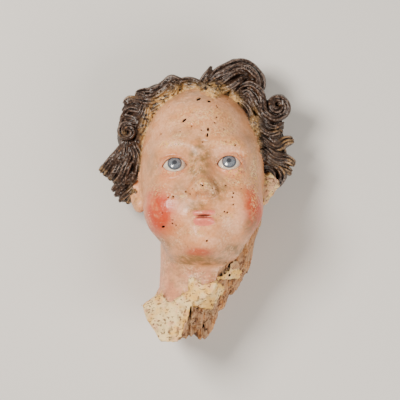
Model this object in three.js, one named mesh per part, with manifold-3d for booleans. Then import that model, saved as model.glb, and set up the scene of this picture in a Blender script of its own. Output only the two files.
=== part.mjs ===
// Head of a putto, carved from one block of limewood and broken off at the neck, with two glass eyes.
// It lies on the back of its head: X runs to the viewer's right, Y towards the crown, Z out of the face.
// The origin is on the planed spot at the back, under the middle of the outline. Lengths are in millimetres.
import * as THREE from "three";
import { mergeVertices } from "three/addons/utils/BufferGeometryUtils.js";
import Module from "manifold-3d";

const wasm = await Module();
wasm.setup();

// Driving sizes
const CARVING_HEIGHT = 250; // tip of the top curl to the broken foot of the neck
const CENTRE_TO_BACK = 66; // centre of the head to the planed spot that it lies on
const EYE_DIAMETER = 24; // blown glass eye
const EYE_CLEARANCE = 0.3; // glass to wood, all round
const LID_THICKNESS = 2.4; // wood left in front of the glass
const EYE_OPENING_WIDTH = 22; // corner to corner of the lids
const EYE_OPENING_HEIGHT = 13;

// The free carving is laid out in shares of the height: a share is 1 mm on the piece at its real size.
const SHARES_IN_HEIGHT = 250;
const SHARE = CARVING_HEIGHT / SHARES_IN_HEIGHT;
const HEAD_CENTRE = [5, 24];
const TIP_BACK = THREE.MathUtils.degToRad(18); // the face looks up
const LEAN = THREE.MathUtils.degToRad(2); // the crown leans to the viewer's left

// Forms of the head in its own frame, in shares, each with its middle and its three half lengths.
// A form off the middle is carved on both sides. Blend is the width of the soft seam to what stands before.
const HEAD_FORMS = [
  { name: "skull", at: [0, 16, -5], size: [53, 63, 62], blend: 0 },
  { name: "face", at: [0, -18, 8], size: [51, 52, 46], blend: 20 },
  { name: "jaw", at: [0, -45, 15], size: [40, 30, 33], blend: 18 },
  { name: "cheek", at: [27, -41, 26], size: [22.5, 23, 24], blend: 16 },
  { name: "muzzle", at: [0, -55, 33], size: [18, 15, 20], blend: 14 },
  { name: "chin", at: [0, -72.5, 39], size: [12, 9.5, 12.5], blend: 14 },
  { name: "throat", at: [0, -73, 8], size: [29, 14, 28], blend: 18 },
  { name: "brow", at: [20, 8, 40], size: [17, 8, 14], blend: 16 },
  { name: "eye hollow", at: [25, -8, 62], size: [17, 10, 12], blend: 12, cut: true },
  { name: "nose root", at: [0, 0, 46], size: [6, 12, 7], blend: 9 },
  { name: "nose bridge", at: [0, -19, 53], size: [6.2, 14, 8.5], blend: 8 },
  { name: "nose tip", at: [0, -31, 61], size: [6.6, 6.4, 8], blend: 9 },
];
const SKULL = HEAD_FORMS[0];

// Small forms that stand proud of the skin with a crisp edge, on both sides of the middle
const PROUD_FORMS = [
  { name: "nose wing", at: [7.2, -34.5, 56], size: [4.6, 4.8, 6.2] },
  { name: "upper lip", at: [3.8, -53.4, 50.6], size: [8.2, 3, 6.8] },
  { name: "lower lip", at: [1.8, -60.2, 51], size: [7.6, 3.8, 7] },
];
const HEAD_MERIDIANS = 32;
const HEAD_RINGS = 22;
const RING_CROWDING = 1.6; // rings crowd towards the face
const RAY_ORIGIN = [0, -20, 8];
const RAY_REACH = 140;
const RAY_STEP = 1;
const RAY_HALVINGS = 12;
const EYE_MIDDLE = [23.5, -8]; // middle of the lids, on both sides of the nose
const EYE_FRONT = 52; // front of the glass
const BALL_MERIDIANS = 16;
const BALL_RINGS = 10;

const CURL_STEPS_IN_TURN = 8;
const CURL_CLOSING = 0.7; // share of its radius that a curl closes in by

// Points of a curl that closes in on its middle, from a start angle in degrees, anticlockwise.
const volute = (middle, radius, start, turns) => {
  const points = [];
  const steps = Math.round(turns * CURL_STEPS_IN_TURN);
  for (let step = 0; step <= steps; step += 1) {
    const angle = THREE.MathUtils.degToRad(start) + (step / CURL_STEPS_IN_TURN) * 2 * Math.PI;
    const reach = radius * (1 - (CURL_CLOSING * step) / steps);
    points.push([middle[0] + reach * Math.cos(angle), middle[1] + reach * Math.sin(angle)]);
  }
  return points;
};

// Locks round the face, seen from the front, in shares. Route runs from root to tip, width is at root, middle
// and tip, and lift stands the lock forward. A lock that curls back on itself is carved in several pieces.
const FRONT_LOCKS = [
  { name: "left bed", width: [14, 28, 20], lift: -5, route: [[-19, 101], [-33, 92], [-46, 83], [-56, 71]] },
  { name: "left curl bed", width: [18, 26, 20], lift: -6,
    route: [[-44, 81], [-52, 67], [-60, 57], [-59, 46]] },
  { name: "left fan bed", width: [12, 26, 20], lift: -4, route: [[-59, 51], [-61, 39], [-68, 26]] },
  { name: "left nape bed", width: [14, 22, 12], lift: -8, route: [[-56, 23], [-63, 14], [-65, 4]] },
  { name: "wave bed", width: [14, 34, 16], lift: -7, route: [[15, 97], [28, 106], [40, 108], [53, 101]] },
  { name: "right bed", width: [16, 28, 24], lift: -7, route: [[35, 92], [47, 89], [56, 76], [69, 64]] },
  { name: "right flick bed", width: [18, 30, 20], lift: -9,
    route: [[51, 67], [60, 53], [67, 39], [65, 24]] },
  { name: "ear bed", width: [10, 20, 14], lift: -7, route: [[58, 37], [65, 26], [63, 17]] },
  { name: "left crest 1", width: [7, 9, 6], lift: 3,
    route: [[-8, 104], [-17, 108], [-23, 109], [-29, 104], [-38, 99], [-47, 98], [-54, 97]] },
  { name: "left sweep 1", width: [6, 8, 6], lift: 4,
    route: [[-23, 93], [-34, 89], [-44, 88], [-52, 91], [-60, 92], [-65, 87]] },
  { name: "left sweep 2", width: [6, 8, 6], lift: 1.5,
    route: [[-30, 87], [-42, 82], [-52, 86], [-60, 87], [-66, 81]] },
  { name: "left sweep 4", width: [6, 8, 6], lift: 1.5,
    route: [[-41, 74], [-50, 71], [-58, 74], [-64, 74], [-69, 67]] },
  { name: "left fan 1", width: [7.5, 10.5, 8.5], lift: 0,
    route: [[-66, 50], [-72, 41], [-78, 33], [-85, 27]] },
  { name: "left fan 3", width: [7.5, 10.5, 8.5], lift: 1,
    route: [[-62, 49], [-64, 40], [-69, 29], [-77, 20]] },
  { name: "left fan 4", width: [7.5, 10.5, 8.5], lift: 5,
    route: [[-60, 49], [-59, 39], [-63, 27], [-72, 16]] },
  { name: "left fan 6", width: [7.5, 9.5, 7.5], lift: 3.5,
    route: [[-54, 49], [-50, 37], [-52, 25], [-59, 16]] },
  { name: "left nape 2", width: [6, 8, 5], lift: -5, route: [[-59, 15], [-67, 9], [-73, 5]] },
  { name: "tuft", width: [9, 8, 3], lift: 1, route: [[4, 101], [7, 109], [11, 116], [13, 121]] },
  { name: "wave 1", width: [8, 9, 6], lift: 1, pieces: 2,
    route: [[13, 110], [23, 119], [36, 124], [48, 122], [57, 113], [59, 105], [58, 97]] },
  { name: "wave 2", width: [9, 9, 5], lift: 6,
    route: [[9, 105], [21, 113], [35, 119], [45, 119], [53, 112], [55, 103], [54, 97]] },
  { name: "right curl", width: [8, 9, 6], lift: 8, pieces: 3,
    route: [[33, 96], [41, 103], [49, 105], [56, 98], [59, 89], [61, 79], [69, 73],
      ...volute([72.5, 85], 8.8, -60, 1.1)] },
  { name: "right under curl 1", width: [6, 8, 6], lift: 4,
    route: [[37, 92], [45, 97], [52, 89], [55, 80], [61, 71], [69, 66], [78, 70]] },
  { name: "right under curl 2", width: [6, 8, 6], lift: 7,
    route: [[39, 89], [45, 83], [50, 74], [55, 65], [64, 60], [74, 62]] },
  { name: "right flick 1", width: [8, 13, 8], lift: 1,
    route: [[54, 59], [63, 53], [71, 50], [79, 53], [85, 53]] },
  { name: "right flick 2", width: [8, 12, 6], lift: 4,
    route: [[55, 50], [63, 43], [72, 39], [80, 37], [86, 33]] },
  { name: "right flick 3", width: [8, 11, 6], lift: 1, route: [[56, 42], [64, 36], [73, 32], [83, 25]] },
  { name: "ear curl 1", width: [7, 9, 6], lift: 4, pieces: 2,
    route: [[58, 32], [66, 33], [73, 30], [77, 23], [73, 16], [66, 12], [61, 14]] },
  { name: "left curl", width: [6, 7, 5], lift: 5, pieces: 2,
    route: [[-46, 66], [-53, 68], ...volute([-61.5, 61.5], 7.8, 80, 1.1)] },
];
const LOCK_SIDES = 6; // facets round a lock, with a corner at each side of it
const SIDE_CORNER = Math.PI / 2;
const LOCK_STEP_LENGTH = 14;
const LOCK_LIFT_BY = 0.8; // share of its length at which a lock has its whole lift
const LOCK_RELIEF = 0.7; // height in front of its middle line, as a share of its width
const LOCK_ROOT_DEPTH = 1.1; // depth behind its middle line, as a share of its width
const LOCK_MOST_HEIGHT = 11; // wider masses of hair are no higher than a lock of this width
const LOCK_EDGE = 1.02; // the skull's outline, where the middle lines leave it, squared and in shares of it
const LOCK_EDGE_BACK = 6; // how far behind the middle of the head they run there
const LOCK_DOME = 50; // how far in front of that they run over the middle of the skull
const LOCK_FALL = 10; // how fast they fall back outside the outline
const LOCK_TIP = 0.92; // share of its length at which a lock starts to round off
const LOCK_END_WIDTH = 0.25;

// Locks over the back of the head run from the whorl to the hairline.
const WHORL = [0, 0.35, -0.94];
const BACK_LOCKS = 18;
const BACK_LOCK_START = THREE.MathUtils.degToRad(10);
const BACK_LOCK_END = THREE.MathUtils.degToRad(86);
const BACK_LOCK_SWAY = THREE.MathUtils.degToRad(9);
const BACK_LOCK_STEPS = 4;
const BACK_LOCK_HALF_THICKNESS = 6;
const BACK_LOCK_END_SHARE = 0.55; // thickness at its ends, as a share of its middle
const BACK_LOCK_OVERLAP = 1.16; // width, as a share of the spacing
const BACK_LOCK_PHASE = 2.1; // each lock waves out of step with the one before
const HAIR_OVER_SKULL = 5;

// Neck: half widths to the left and right of its middle, read down the neck, then its depth.
const NECK_MIDDLE = 8;
const NECK_LEVELS = [
  { y: 12, left: 30, right: 34 },
  { y: -16, left: 38, right: 50 },
  { y: -24, left: 39, right: 49 },
  { y: -38, left: 40, right: 44 },
  { y: -56, left: 40, right: 41 },
  { y: -76, left: 41, right: 39 },
  { y: -84, left: 45, right: 39 },
  { y: -92, left: 56, right: 39 },
  { y: -112, left: 66, right: 40 },
  { y: -130, left: 74, right: 42 },
];
const NECK_HALF_DEPTH = 38;
const NECK_SIDES = 24;

// Where the wood tore away: lowest wood across the neck, seen from the front.
const TORN_FOOT = [[-60, -88], [-47, -93], [-44, -103], [-39, -110], [-35, -116], [-31, -122], [-10, -122],
  [0, -122], [9, -119], [17, -110], [20, -98], [26, -93], [29, -86], [38, -77], [45, -69], [49, -54],
  [52, -38], [56, -26], [62, -19]];
const TEAR_STARTS_AT = -11; // the tear slopes back from the front only right of here
const TEAR_FADE = 8;
const TEAR_BACK = 6; // how far behind the middle of the head the slope starts
const TEAR_SLOPE = 0.85;
const TEAR_RISE = 42;
const FIBRE_WIDTH = 6;
const FIBRE_STEP = 5;
const ABOVE_TEAR_BLOCK = [136, 170, 92]; // wider than the neck, all round
const ABOVE_TEAR_TOP = 10; // over the top of the neck column
const ABOVE_TEAR_COLUMNS = [20, 12]; // fibres modelled across and through

// Ears in the frame of the head, each with its middle and half lengths. The right one is broken to a stump.
const LEFT_EAR = { at: [-55, -10, -8], size: [8, 21, 14] };
const EAR_BOWL = { at: [0.75, 4, 4], share: [1, 0.5, 0.5] }; // across is in shares of the ear
const RIGHT_EAR_STUMP = { at: [55, -15.5, -4], size: [15, 15, 12] };
const STUMP_REACH = 8; // middle of the stump to the break, across
const STUMP_SLOPE = 0.75; // how far the break leans out towards the crown

const COLOURS = { paintedWood: 0xb58f6e, glass: 0xdfe3e6 };
const MERGE_DISTANCE = 1e-3;
const SIDES = [-1, 1];

const clamp = (value, low, high) => Math.min(Math.max(value, low), high);

// Two surfaces joined by a soft seam of the given width.
const softJoin = (a, b, seam) => {
  const overlap = seam > 0 ? Math.max(seam - Math.abs(a - b), 0) / seam : 0;
  return Math.min(a, b) - (overlap * overlap * seam) / 4;
};

const ellipsoidDistance = (x, y, z, form) => {
  const [dx, dy, dz] = [x - form.at[0], y - form.at[1], z - form.at[2]];
  const [a, b, c] = form.size;
  const scaled = Math.hypot(dx / a, dy / b, dz / c);
  const slope = Math.hypot(dx / (a * a), dy / (b * b), dz / (c * c));
  return slope > 0 ? (scaled * (scaled - 1)) / slope : -Math.min(a, b, c);
};

// Distance to the skin of the head, negative inside, in its own frame.
const skinDistance = (x, y, z) => {
  let distance = Infinity;
  for (const form of HEAD_FORMS) {
    const side = form.at[0] > 0 ? Math.abs(x) : x;
    const part = ellipsoidDistance(side, y, z, form);
    if (distance === Infinity) {
      distance = part;
    } else {
      distance = form.cut ? -softJoin(-distance, part, form.blend) : softJoin(distance, part, form.blend);
    }
  }
  return distance;
};

const headFrame = new THREE.Matrix4()
  .makeTranslation(HEAD_CENTRE[0], HEAD_CENTRE[1], CENTRE_TO_BACK / SHARE)
  .multiply(new THREE.Matrix4().makeRotationZ(LEAN))
  .multiply(new THREE.Matrix4().makeRotationX(-TIP_BACK));

// A closed three.js geometry becomes a solid that can be joined and cut.
const toSolid = (geometry) => {
  const loose = geometry.index ? geometry.toNonIndexed() : geometry;
  const bare = new THREE.BufferGeometry();
  bare.setAttribute("position", loose.getAttribute("position").clone());
  const merged = mergeVertices(bare, MERGE_DISTANCE);
  const vertProperties = Float32Array.from(merged.getAttribute("position").array);
  const triVerts = Uint32Array.from(merged.index.array);
  return new wasm.Manifold(new wasm.Mesh({ numProp: 3, vertProperties, triVerts }));
};

// Shell number of each corner of a closed mesh.
const shellNumbers = (corners, cornerCount) => {
  const parent = Array.from({ length: cornerCount }, (_, index) => index);
  const rootOf = (start) => {
    let index = start;
    while (parent[index] !== index) {
      parent[index] = parent[parent[index]];
      index = parent[index];
    }
    return index;
  };
  for (let first = 0; first < corners.length; first += 3) {
    const root = rootOf(corners[first]);
    parent[rootOf(corners[first + 1])] = root;
    parent[rootOf(corners[first + 2])] = root;
  }
  return parent.map((_, index) => rootOf(index));
};

const geometryOf = (vertProperties, corners) => {
  const geometry = new THREE.BufferGeometry();
  geometry.setAttribute("position", new THREE.BufferAttribute(vertProperties, 3));
  geometry.setIndex(Array.from(corners));
  geometry.computeVertexNormals();
  return geometry;
};

// The solid as a geometry, with the pockets closed in between the locks filled: their shells face inwards.
const fromSolid = (solid) => {
  const cut = solid.getMesh();
  const { vertProperties, triVerts } = toSolid(geometryOf(cut.vertProperties, cut.triVerts)).getMesh();
  const shells = shellNumbers(triVerts, vertProperties.length / 3);
  const volumes = new Map();
  const pointAt = (index) => new THREE.Vector3().fromArray(vertProperties, index * 3);
  for (let first = 0; first < triVerts.length; first += 3) {
    const [a, b, c] = [0, 1, 2].map((step) => pointAt(triVerts[first + step]));
    const shell = shells[triVerts[first]];
    volumes.set(shell, (volumes.get(shell) ?? 0) + a.dot(b.cross(c)));
  }
  const kept = triVerts.filter((corner) => volumes.get(shells[corner]) > 0);
  return geometryOf(vertProperties, kept);
};

const moveVertices = (geometry, move) => {
  const positions = geometry.getAttribute("position");
  const point = new THREE.Vector3();
  for (let index = 0; index < positions.count; index += 1) {
    point.fromBufferAttribute(positions, index);
    move(point);
    positions.setXYZ(index, point.x, point.y, point.z);
  }
  return geometry;
};

const joinAll = (solids) => solids.reduce((joined, solid) => joined.add(solid));

// The bare head: a sphere with its pole towards the face, pushed out along each ray to the skin.
const headSolid = () => {
  const geometry = new THREE.SphereGeometry(1, HEAD_MERIDIANS, HEAD_RINGS).rotateX(Math.PI / 2);
  moveVertices(geometry, (point) => {
    const polar = Math.PI * (Math.acos(clamp(point.z, -1, 1)) / Math.PI) ** RING_CROWDING;
    const around = Math.atan2(point.y, point.x);
    const ray = [Math.sin(polar) * Math.cos(around), Math.sin(polar) * Math.sin(around), Math.cos(polar)];
    const alongRay = (reach) => RAY_ORIGIN.map((start, axis) => start + ray[axis] * reach);
    let outside = RAY_REACH;
    while (skinDistance(...alongRay(outside - RAY_STEP)) > 0) {
      outside -= RAY_STEP;
    }
    let inside = outside - RAY_STEP;
    for (let halving = 0; halving < RAY_HALVINGS; halving += 1) {
      const middle = (inside + outside) / 2;
      if (skinDistance(...alongRay(middle)) > 0) {
        outside = middle;
      } else {
        inside = middle;
      }
    }
    point.set(...alongRay(inside));
  });
  return toSolid(geometry.applyMatrix4(headFrame));
};

// Height of the middle line of a front lock: on the rounding skull inside its outline, and level outside.
const lockHeight = (x, y) => {
  const [acrossHalf, upHalf] = [SKULL.size[0], SKULL.size[1]];
  const skullMiddleY = HEAD_CENTRE[1] + SKULL.at[1] * Math.cos(TIP_BACK) + SKULL.at[2] * Math.sin(TIP_BACK);
  const out = ((x - HEAD_CENTRE[0]) / acrossHalf) ** 2 + ((y - skullMiddleY) / upHalf) ** 2;
  const dome = LOCK_DOME * Math.sqrt(Math.max(0, LOCK_EDGE - out));
  return CENTRE_TO_BACK / SHARE - LOCK_EDGE_BACK + dome - LOCK_FALL * Math.max(0, out - LOCK_EDGE);
};

const lockWidth = ([root, middle, tip], along) => {
  const end = along < 0.5 ? root : tip;
  const pastTip = Math.max(0, (along - LOCK_TIP) / (1 - LOCK_TIP));
  const roundTip = Math.sqrt(Math.max(0, 1 - pastTip ** 2));
  return (end + (middle - end) * Math.sin(Math.PI * along)) * Math.max(roundTip, LOCK_END_WIDTH);
};

// One piece of a lock: a tube bent along its route, deeper at the back, where it grows out of the block.
const lockPieceSolid = (lock, curve, from, to) => {
  const steps = Math.max(2, Math.ceil((curve.getLength() * (to - from)) / LOCK_STEP_LENGTH));
  const geometry = new THREE.CylinderGeometry(1, 1, 1, LOCK_SIDES, steps, false, SIDE_CORNER);
  moveVertices(geometry, (point) => {
    const along = clamp(from + (to - from) * (point.y + 0.5), 0, 1);
    const place = curve.getPointAt(along);
    const heading = curve.getTangentAt(along);
    const width = lockWidth(lock.width, along);
    const side = (point.x * width) / 2;
    const lift = lock.lift * Math.sin((Math.PI / 2) * Math.min(1, along / LOCK_LIFT_BY));
    const share = point.z > 0 ? LOCK_RELIEF : LOCK_ROOT_DEPTH;
    const height = point.z * Math.min(width, LOCK_MOST_HEIGHT) * share;
    point.set(
      place.x + heading.y * side,
      place.y - heading.x * side,
      lockHeight(place.x, place.y) + lift + height,
    );
  });
  return toSolid(geometry);
};

const frontLockSolid = (lock) => {
  const curve = new THREE.CatmullRomCurve3(lock.route.map(([x, y]) => new THREE.Vector3(x, y, 0)));
  const pieces = lock.pieces ?? 1;
  const solids = [];
  for (let piece = 0; piece < pieces; piece += 1) {
    solids.push(lockPieceSolid(lock, curve, piece / pieces, (piece + 1) / pieces));
  }
  return joinAll(solids);
};

// The cap of hair behind the hairline, which is square to the whorl.
const whorlFrame = new THREE.Quaternion().setFromUnitVectors(
  new THREE.Vector3(0, 0, 1),
  new THREE.Vector3(...WHORL).normalize(),
);
const overSkull = (direction, height) => {
  const [a, b, c] = SKULL.size.map((half) => half + height);
  const reach = 1 / Math.hypot(direction.x / a, direction.y / b, direction.z / c);
  return direction.multiplyScalar(reach).add(new THREE.Vector3(...SKULL.at));
};
const hairCapSolid = () => {
  const geometry = new THREE.SphereGeometry(1, 20, 8);
  geometry.rotateX(Math.PI / 2);
  moveVertices(geometry, (point) => {
    point.z = Math.max(point.z, 0);
    const direction = point.clone().applyQuaternion(whorlFrame);
    const height = direction.length();
    overSkull(direction.normalize(), HAIR_OVER_SKULL);
    point.copy(direction).sub(new THREE.Vector3(...SKULL.at)).multiplyScalar(height);
    point.add(new THREE.Vector3(...SKULL.at));
  });
  return toSolid(geometry.applyMatrix4(headFrame));
};

const backLockSolid = (index) => {
  const geometry = new THREE.CylinderGeometry(1, 1, 1, LOCK_SIDES, BACK_LOCK_STEPS, false, SIDE_CORNER);
  const spacing = (Math.PI * 2) / BACK_LOCKS;
  moveVertices(geometry, (point) => {
    const part = point.y + 0.5;
    const polar = BACK_LOCK_START + (BACK_LOCK_END - BACK_LOCK_START) * part;
    const sway = BACK_LOCK_SWAY * Math.sin(Math.PI * 2 * part + index * BACK_LOCK_PHASE);
    const around = index * spacing + sway - (spacing / 2) * BACK_LOCK_OVERLAP * point.x;
    const direction = new THREE.Vector3(
      Math.sin(polar) * Math.cos(around),
      Math.sin(polar) * Math.sin(around),
      Math.cos(polar),
    ).applyQuaternion(whorlFrame);
    const swell = THREE.MathUtils.lerp(BACK_LOCK_END_SHARE, 1, Math.sin(Math.PI * part));
    point.copy(overSkull(direction, 1 + BACK_LOCK_HALF_THICKNESS * swell * point.z));
  });
  return toSolid(geometry.applyMatrix4(headFrame));
};

const neckLevel = (y) => {
  const below = NECK_LEVELS.findIndex((level) => level.y <= y);
  if (below <= 0) {
    return below === 0 ? NECK_LEVELS[0] : NECK_LEVELS[NECK_LEVELS.length - 1];
  }
  const [upper, lower] = [NECK_LEVELS[below - 1], NECK_LEVELS[below]];
  const part = (upper.y - y) / (upper.y - lower.y);
  return {
    left: THREE.MathUtils.lerp(upper.left, lower.left, part),
    right: THREE.MathUtils.lerp(upper.right, lower.right, part),
  };
};

const neckColumnSolid = () => {
  const [top, foot] = [NECK_LEVELS[0].y, NECK_LEVELS[NECK_LEVELS.length - 1].y];
  const geometry = new THREE.CylinderGeometry(1, 1, top - foot, NECK_SIDES, 8);
  moveVertices(geometry, (point) => {
    const y = point.y + (top + foot) / 2;
    const level = neckLevel(y);
    point.x = NECK_MIDDLE + point.x * (point.x < 0 ? level.left : level.right);
    point.z = CENTRE_TO_BACK / SHARE + point.z * NECK_HALF_DEPTH;
    point.y = y;
  });
  return toSolid(geometry);
};

// How far a broken fibre ends above the lowest wood, the same for every point of that fibre.
const fibreShortfall = (x, z) => {
  const column = Math.floor(x / FIBRE_WIDTH) * 12.9898 + Math.floor(z / FIBRE_WIDTH) * 78.233;
  const scatter = Math.sin(column) * 43758.5453;
  return (scatter - Math.floor(scatter)) * FIBRE_STEP;
};

const tornHeight = (x, z) => {
  const next = TORN_FOOT.findIndex(([at]) => at >= x);
  let foot = next <= 0 ? TORN_FOOT[next === 0 ? 0 : TORN_FOOT.length - 1][1] : 0;
  if (next > 0) {
    const [[x0, y0], [x1, y1]] = [TORN_FOOT[next - 1], TORN_FOOT[next]];
    foot = y0 + ((y1 - y0) * (x - x0)) / (x1 - x0);
  }
  const rightOfTear = clamp((x - TEAR_STARTS_AT) / TEAR_FADE, 0, 1);
  const inFront = clamp((z - CENTRE_TO_BACK / SHARE + TEAR_BACK) * TEAR_SLOPE, 0, TEAR_RISE);
  return foot + rightOfTear * inFront + fibreShortfall(x, z);
};

// Everything above the tear, as a block whose underside is the torn wood.
const aboveTearSolid = () => {
  const [across, through] = ABOVE_TEAR_COLUMNS;
  const geometry = new THREE.BoxGeometry(...ABOVE_TEAR_BLOCK, across, 1, through);
  moveVertices(geometry, (point) => {
    point.x += NECK_MIDDLE;
    point.z += CENTRE_TO_BACK / SHARE;
    point.y = point.y > 0 ? NECK_LEVELS[0].y + ABOVE_TEAR_TOP : tornHeight(point.x, point.z);
  });
  return toSolid(geometry);
};

const earSolid = (ear) => {
  const shell = new THREE.SphereGeometry(1, 10, 7).scale(...ear.size);
  const bowl = new THREE.SphereGeometry(1, 8, 5).scale(...ear.size).scale(...EAR_BOWL.share);
  const [across, up, forward] = EAR_BOWL.at;
  bowl.translate(Math.sign(ear.at[0]) * across * ear.size[0], up, forward);
  const solid = toSolid(shell).subtract(toSolid(bowl));
  const place = new THREE.Matrix4().makeTranslation(...ear.at);
  return solid.transform(headFrame.clone().multiply(place).elements);
};

const earStumpSolid = () => {
  const { at, size } = RIGHT_EAR_STUMP;
  const geometry = new THREE.SphereGeometry(1, 10, 8).scale(...size);
  moveVertices(geometry, (point) => {
    point.x = Math.min(point.x, STUMP_REACH + STUMP_SLOPE * point.y);
  });
  return toSolid(geometry.translate(...at).applyMatrix4(headFrame));
};

const proudFormSolids = (form) =>
  SIDES.map((side) => {
    const geometry = new THREE.SphereGeometry(1, 10, 7).scale(...form.size);
    return toSolid(geometry.translate(side * form.at[0], form.at[1], form.at[2]).applyMatrix4(headFrame));
  });

// Eyes keep their real size, so they are placed in millimetres in a frame scaled to the carving.
const eyeFrame = (side) => {
  const radius = EYE_DIAMETER / 2;
  const middle = new THREE.Vector3(side * EYE_MIDDLE[0], EYE_MIDDLE[1], EYE_FRONT).applyMatrix4(headFrame);
  const turn = new THREE.Matrix4().makeRotationZ(LEAN).multiply(new THREE.Matrix4().makeRotationX(-TIP_BACK));
  return new THREE.Matrix4()
    .makeTranslation(middle.x * SHARE, middle.y * SHARE, middle.z * SHARE)
    .multiply(turn)
    .multiply(new THREE.Matrix4().makeTranslation(0, 0, -radius));
};
const ballGeometry = (radius, side) =>
  new THREE.SphereGeometry(radius, BALL_MERIDIANS, BALL_RINGS)
    .rotateX(Math.PI / 2)
    .applyMatrix4(eyeFrame(side));

const lidOpeningSolid = (side) => {
  const outline = new THREE.Shape();
  const [half, rise] = [EYE_OPENING_WIDTH / 2, EYE_OPENING_HEIGHT];
  outline.moveTo(-half, 0);
  outline.quadraticCurveTo(0, rise, half, 0);
  outline.quadraticCurveTo(0, -rise, -half, 0);
  const settings = { depth: EYE_DIAMETER, bevelEnabled: false, curveSegments: 4 };
  const geometry = new THREE.ExtrudeGeometry(outline, settings);
  geometry.translate(0, 0, EYE_DIAMETER / 5);
  return toSolid(geometry.applyMatrix4(eyeFrame(side)));
};

const carvingSolid = () => {
  const neck = neckColumnSolid().intersect(aboveTearSolid());
  const hair = [hairCapSolid(), ...FRONT_LOCKS.map(frontLockSolid)];
  for (let index = 0; index < BACK_LOCKS; index += 1) {
    hair.push(backLockSolid(index));
  }
  const ears = [earSolid(LEFT_EAR), earStumpSolid()];
  const block = joinAll([headSolid(), neck, ...ears, ...PROUD_FORMS.flatMap(proudFormSolids), ...hair]);
  let carving = block.scale([SHARE, SHARE, SHARE]);
  for (const side of SIDES) {
    const socketRadius = EYE_DIAMETER / 2 + EYE_CLEARANCE;
    carving = carving.add(toSolid(ballGeometry(socketRadius + LID_THICKNESS, side)));
    carving = carving.subtract(toSolid(ballGeometry(socketRadius, side))).subtract(lidOpeningSolid(side));
  }
  const floor = new THREE.BoxGeometry(2 * CARVING_HEIGHT, 2 * CARVING_HEIGHT, CARVING_HEIGHT);
  return carving.subtract(toSolid(floor.translate(0, 0, -CARVING_HEIGHT / 2)));
};

const named = (name, geometry, colour, roughness) => {
  const material = new THREE.MeshStandardMaterial({ color: colour, roughness, metalness: 0 });
  const mesh = new THREE.Mesh(geometry, material);
  mesh.name = name;
  return mesh;
};

const group = new THREE.Group();
const carving = fromSolid(carvingSolid());
group.add(named("carved_head", carving, COLOURS.paintedWood, 0.6));
group.add(named("right_glass_eye", ballGeometry(EYE_DIAMETER / 2, -1), COLOURS.glass, 0.08));
group.add(named("left_glass_eye", ballGeometry(EYE_DIAMETER / 2, 1), COLOURS.glass, 0.08));

// The origin goes under the middle of the outline.
carving.computeBoundingBox();
const middle = carving.boundingBox.getCenter(new THREE.Vector3());
group.position.set(-middle.x, -middle.y, 0);

export default group;
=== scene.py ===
"""Head of a putto in painted limewood with glass eyes, broken off at the neck, as a Blender add-on layout.

The carving is one mesh. Its forms are distance fields in millimetres, in the frame of the CAD model.
"""
import math

import bpy
import numpy as np
from bpy.props import FloatProperty, FloatVectorProperty, IntProperty, PointerProperty
from bpy.types import Operator, Panel, PropertyGroup
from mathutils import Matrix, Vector


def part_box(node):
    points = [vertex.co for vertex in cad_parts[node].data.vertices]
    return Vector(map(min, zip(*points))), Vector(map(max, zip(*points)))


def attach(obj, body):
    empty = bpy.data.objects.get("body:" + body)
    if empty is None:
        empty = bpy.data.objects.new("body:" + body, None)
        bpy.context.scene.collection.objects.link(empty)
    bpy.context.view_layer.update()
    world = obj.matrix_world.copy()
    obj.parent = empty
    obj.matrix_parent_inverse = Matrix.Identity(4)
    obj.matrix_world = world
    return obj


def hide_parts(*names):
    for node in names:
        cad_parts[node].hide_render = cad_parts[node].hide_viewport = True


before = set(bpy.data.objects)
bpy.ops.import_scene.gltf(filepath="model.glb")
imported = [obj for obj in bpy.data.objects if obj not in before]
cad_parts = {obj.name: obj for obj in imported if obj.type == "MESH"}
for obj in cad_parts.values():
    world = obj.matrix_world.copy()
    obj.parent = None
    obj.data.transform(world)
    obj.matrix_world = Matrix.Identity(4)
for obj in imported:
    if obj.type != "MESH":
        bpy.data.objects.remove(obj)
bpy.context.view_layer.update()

bl_info = {
    "name": "Putto head",
    "version": (1, 0, 0),
    "blender": (4, 5, 0),
    "location": "View3D > Sidebar > Putto head",
    "description": "A carved and painted putto head with glass eyes",
    "category": "Add Mesh",
}

# Sizes read from the frame, in millimetres
MM = 0.001
HEAD_NODE = "carved_head"
EYE_NODES = ("right_glass_eye", "left_glass_eye")


def box_in_mm(node):
    low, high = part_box(node)
    return np.array(low) / MM, np.array(high) / MM


HEAD_LOW, HEAD_HIGH = box_in_mm(HEAD_NODE)
EYE_BOXES = [box_in_mm(node) for node in EYE_NODES]
EYE_MIDDLES = [(low + high) / 2 for low, high in EYE_BOXES]
EYE_RADIUS = float((EYE_BOXES[0][1] - EYE_BOXES[0][0])[0] / 2)

# Pose of the head
HEAD_CENTRE = np.array([5.0, 24.0, 66.0])
TIP_BACK = math.radians(18)
LEAN = math.radians(2)
EYE_PLACE = np.array([23.5, -8.0, 52.0])

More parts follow.
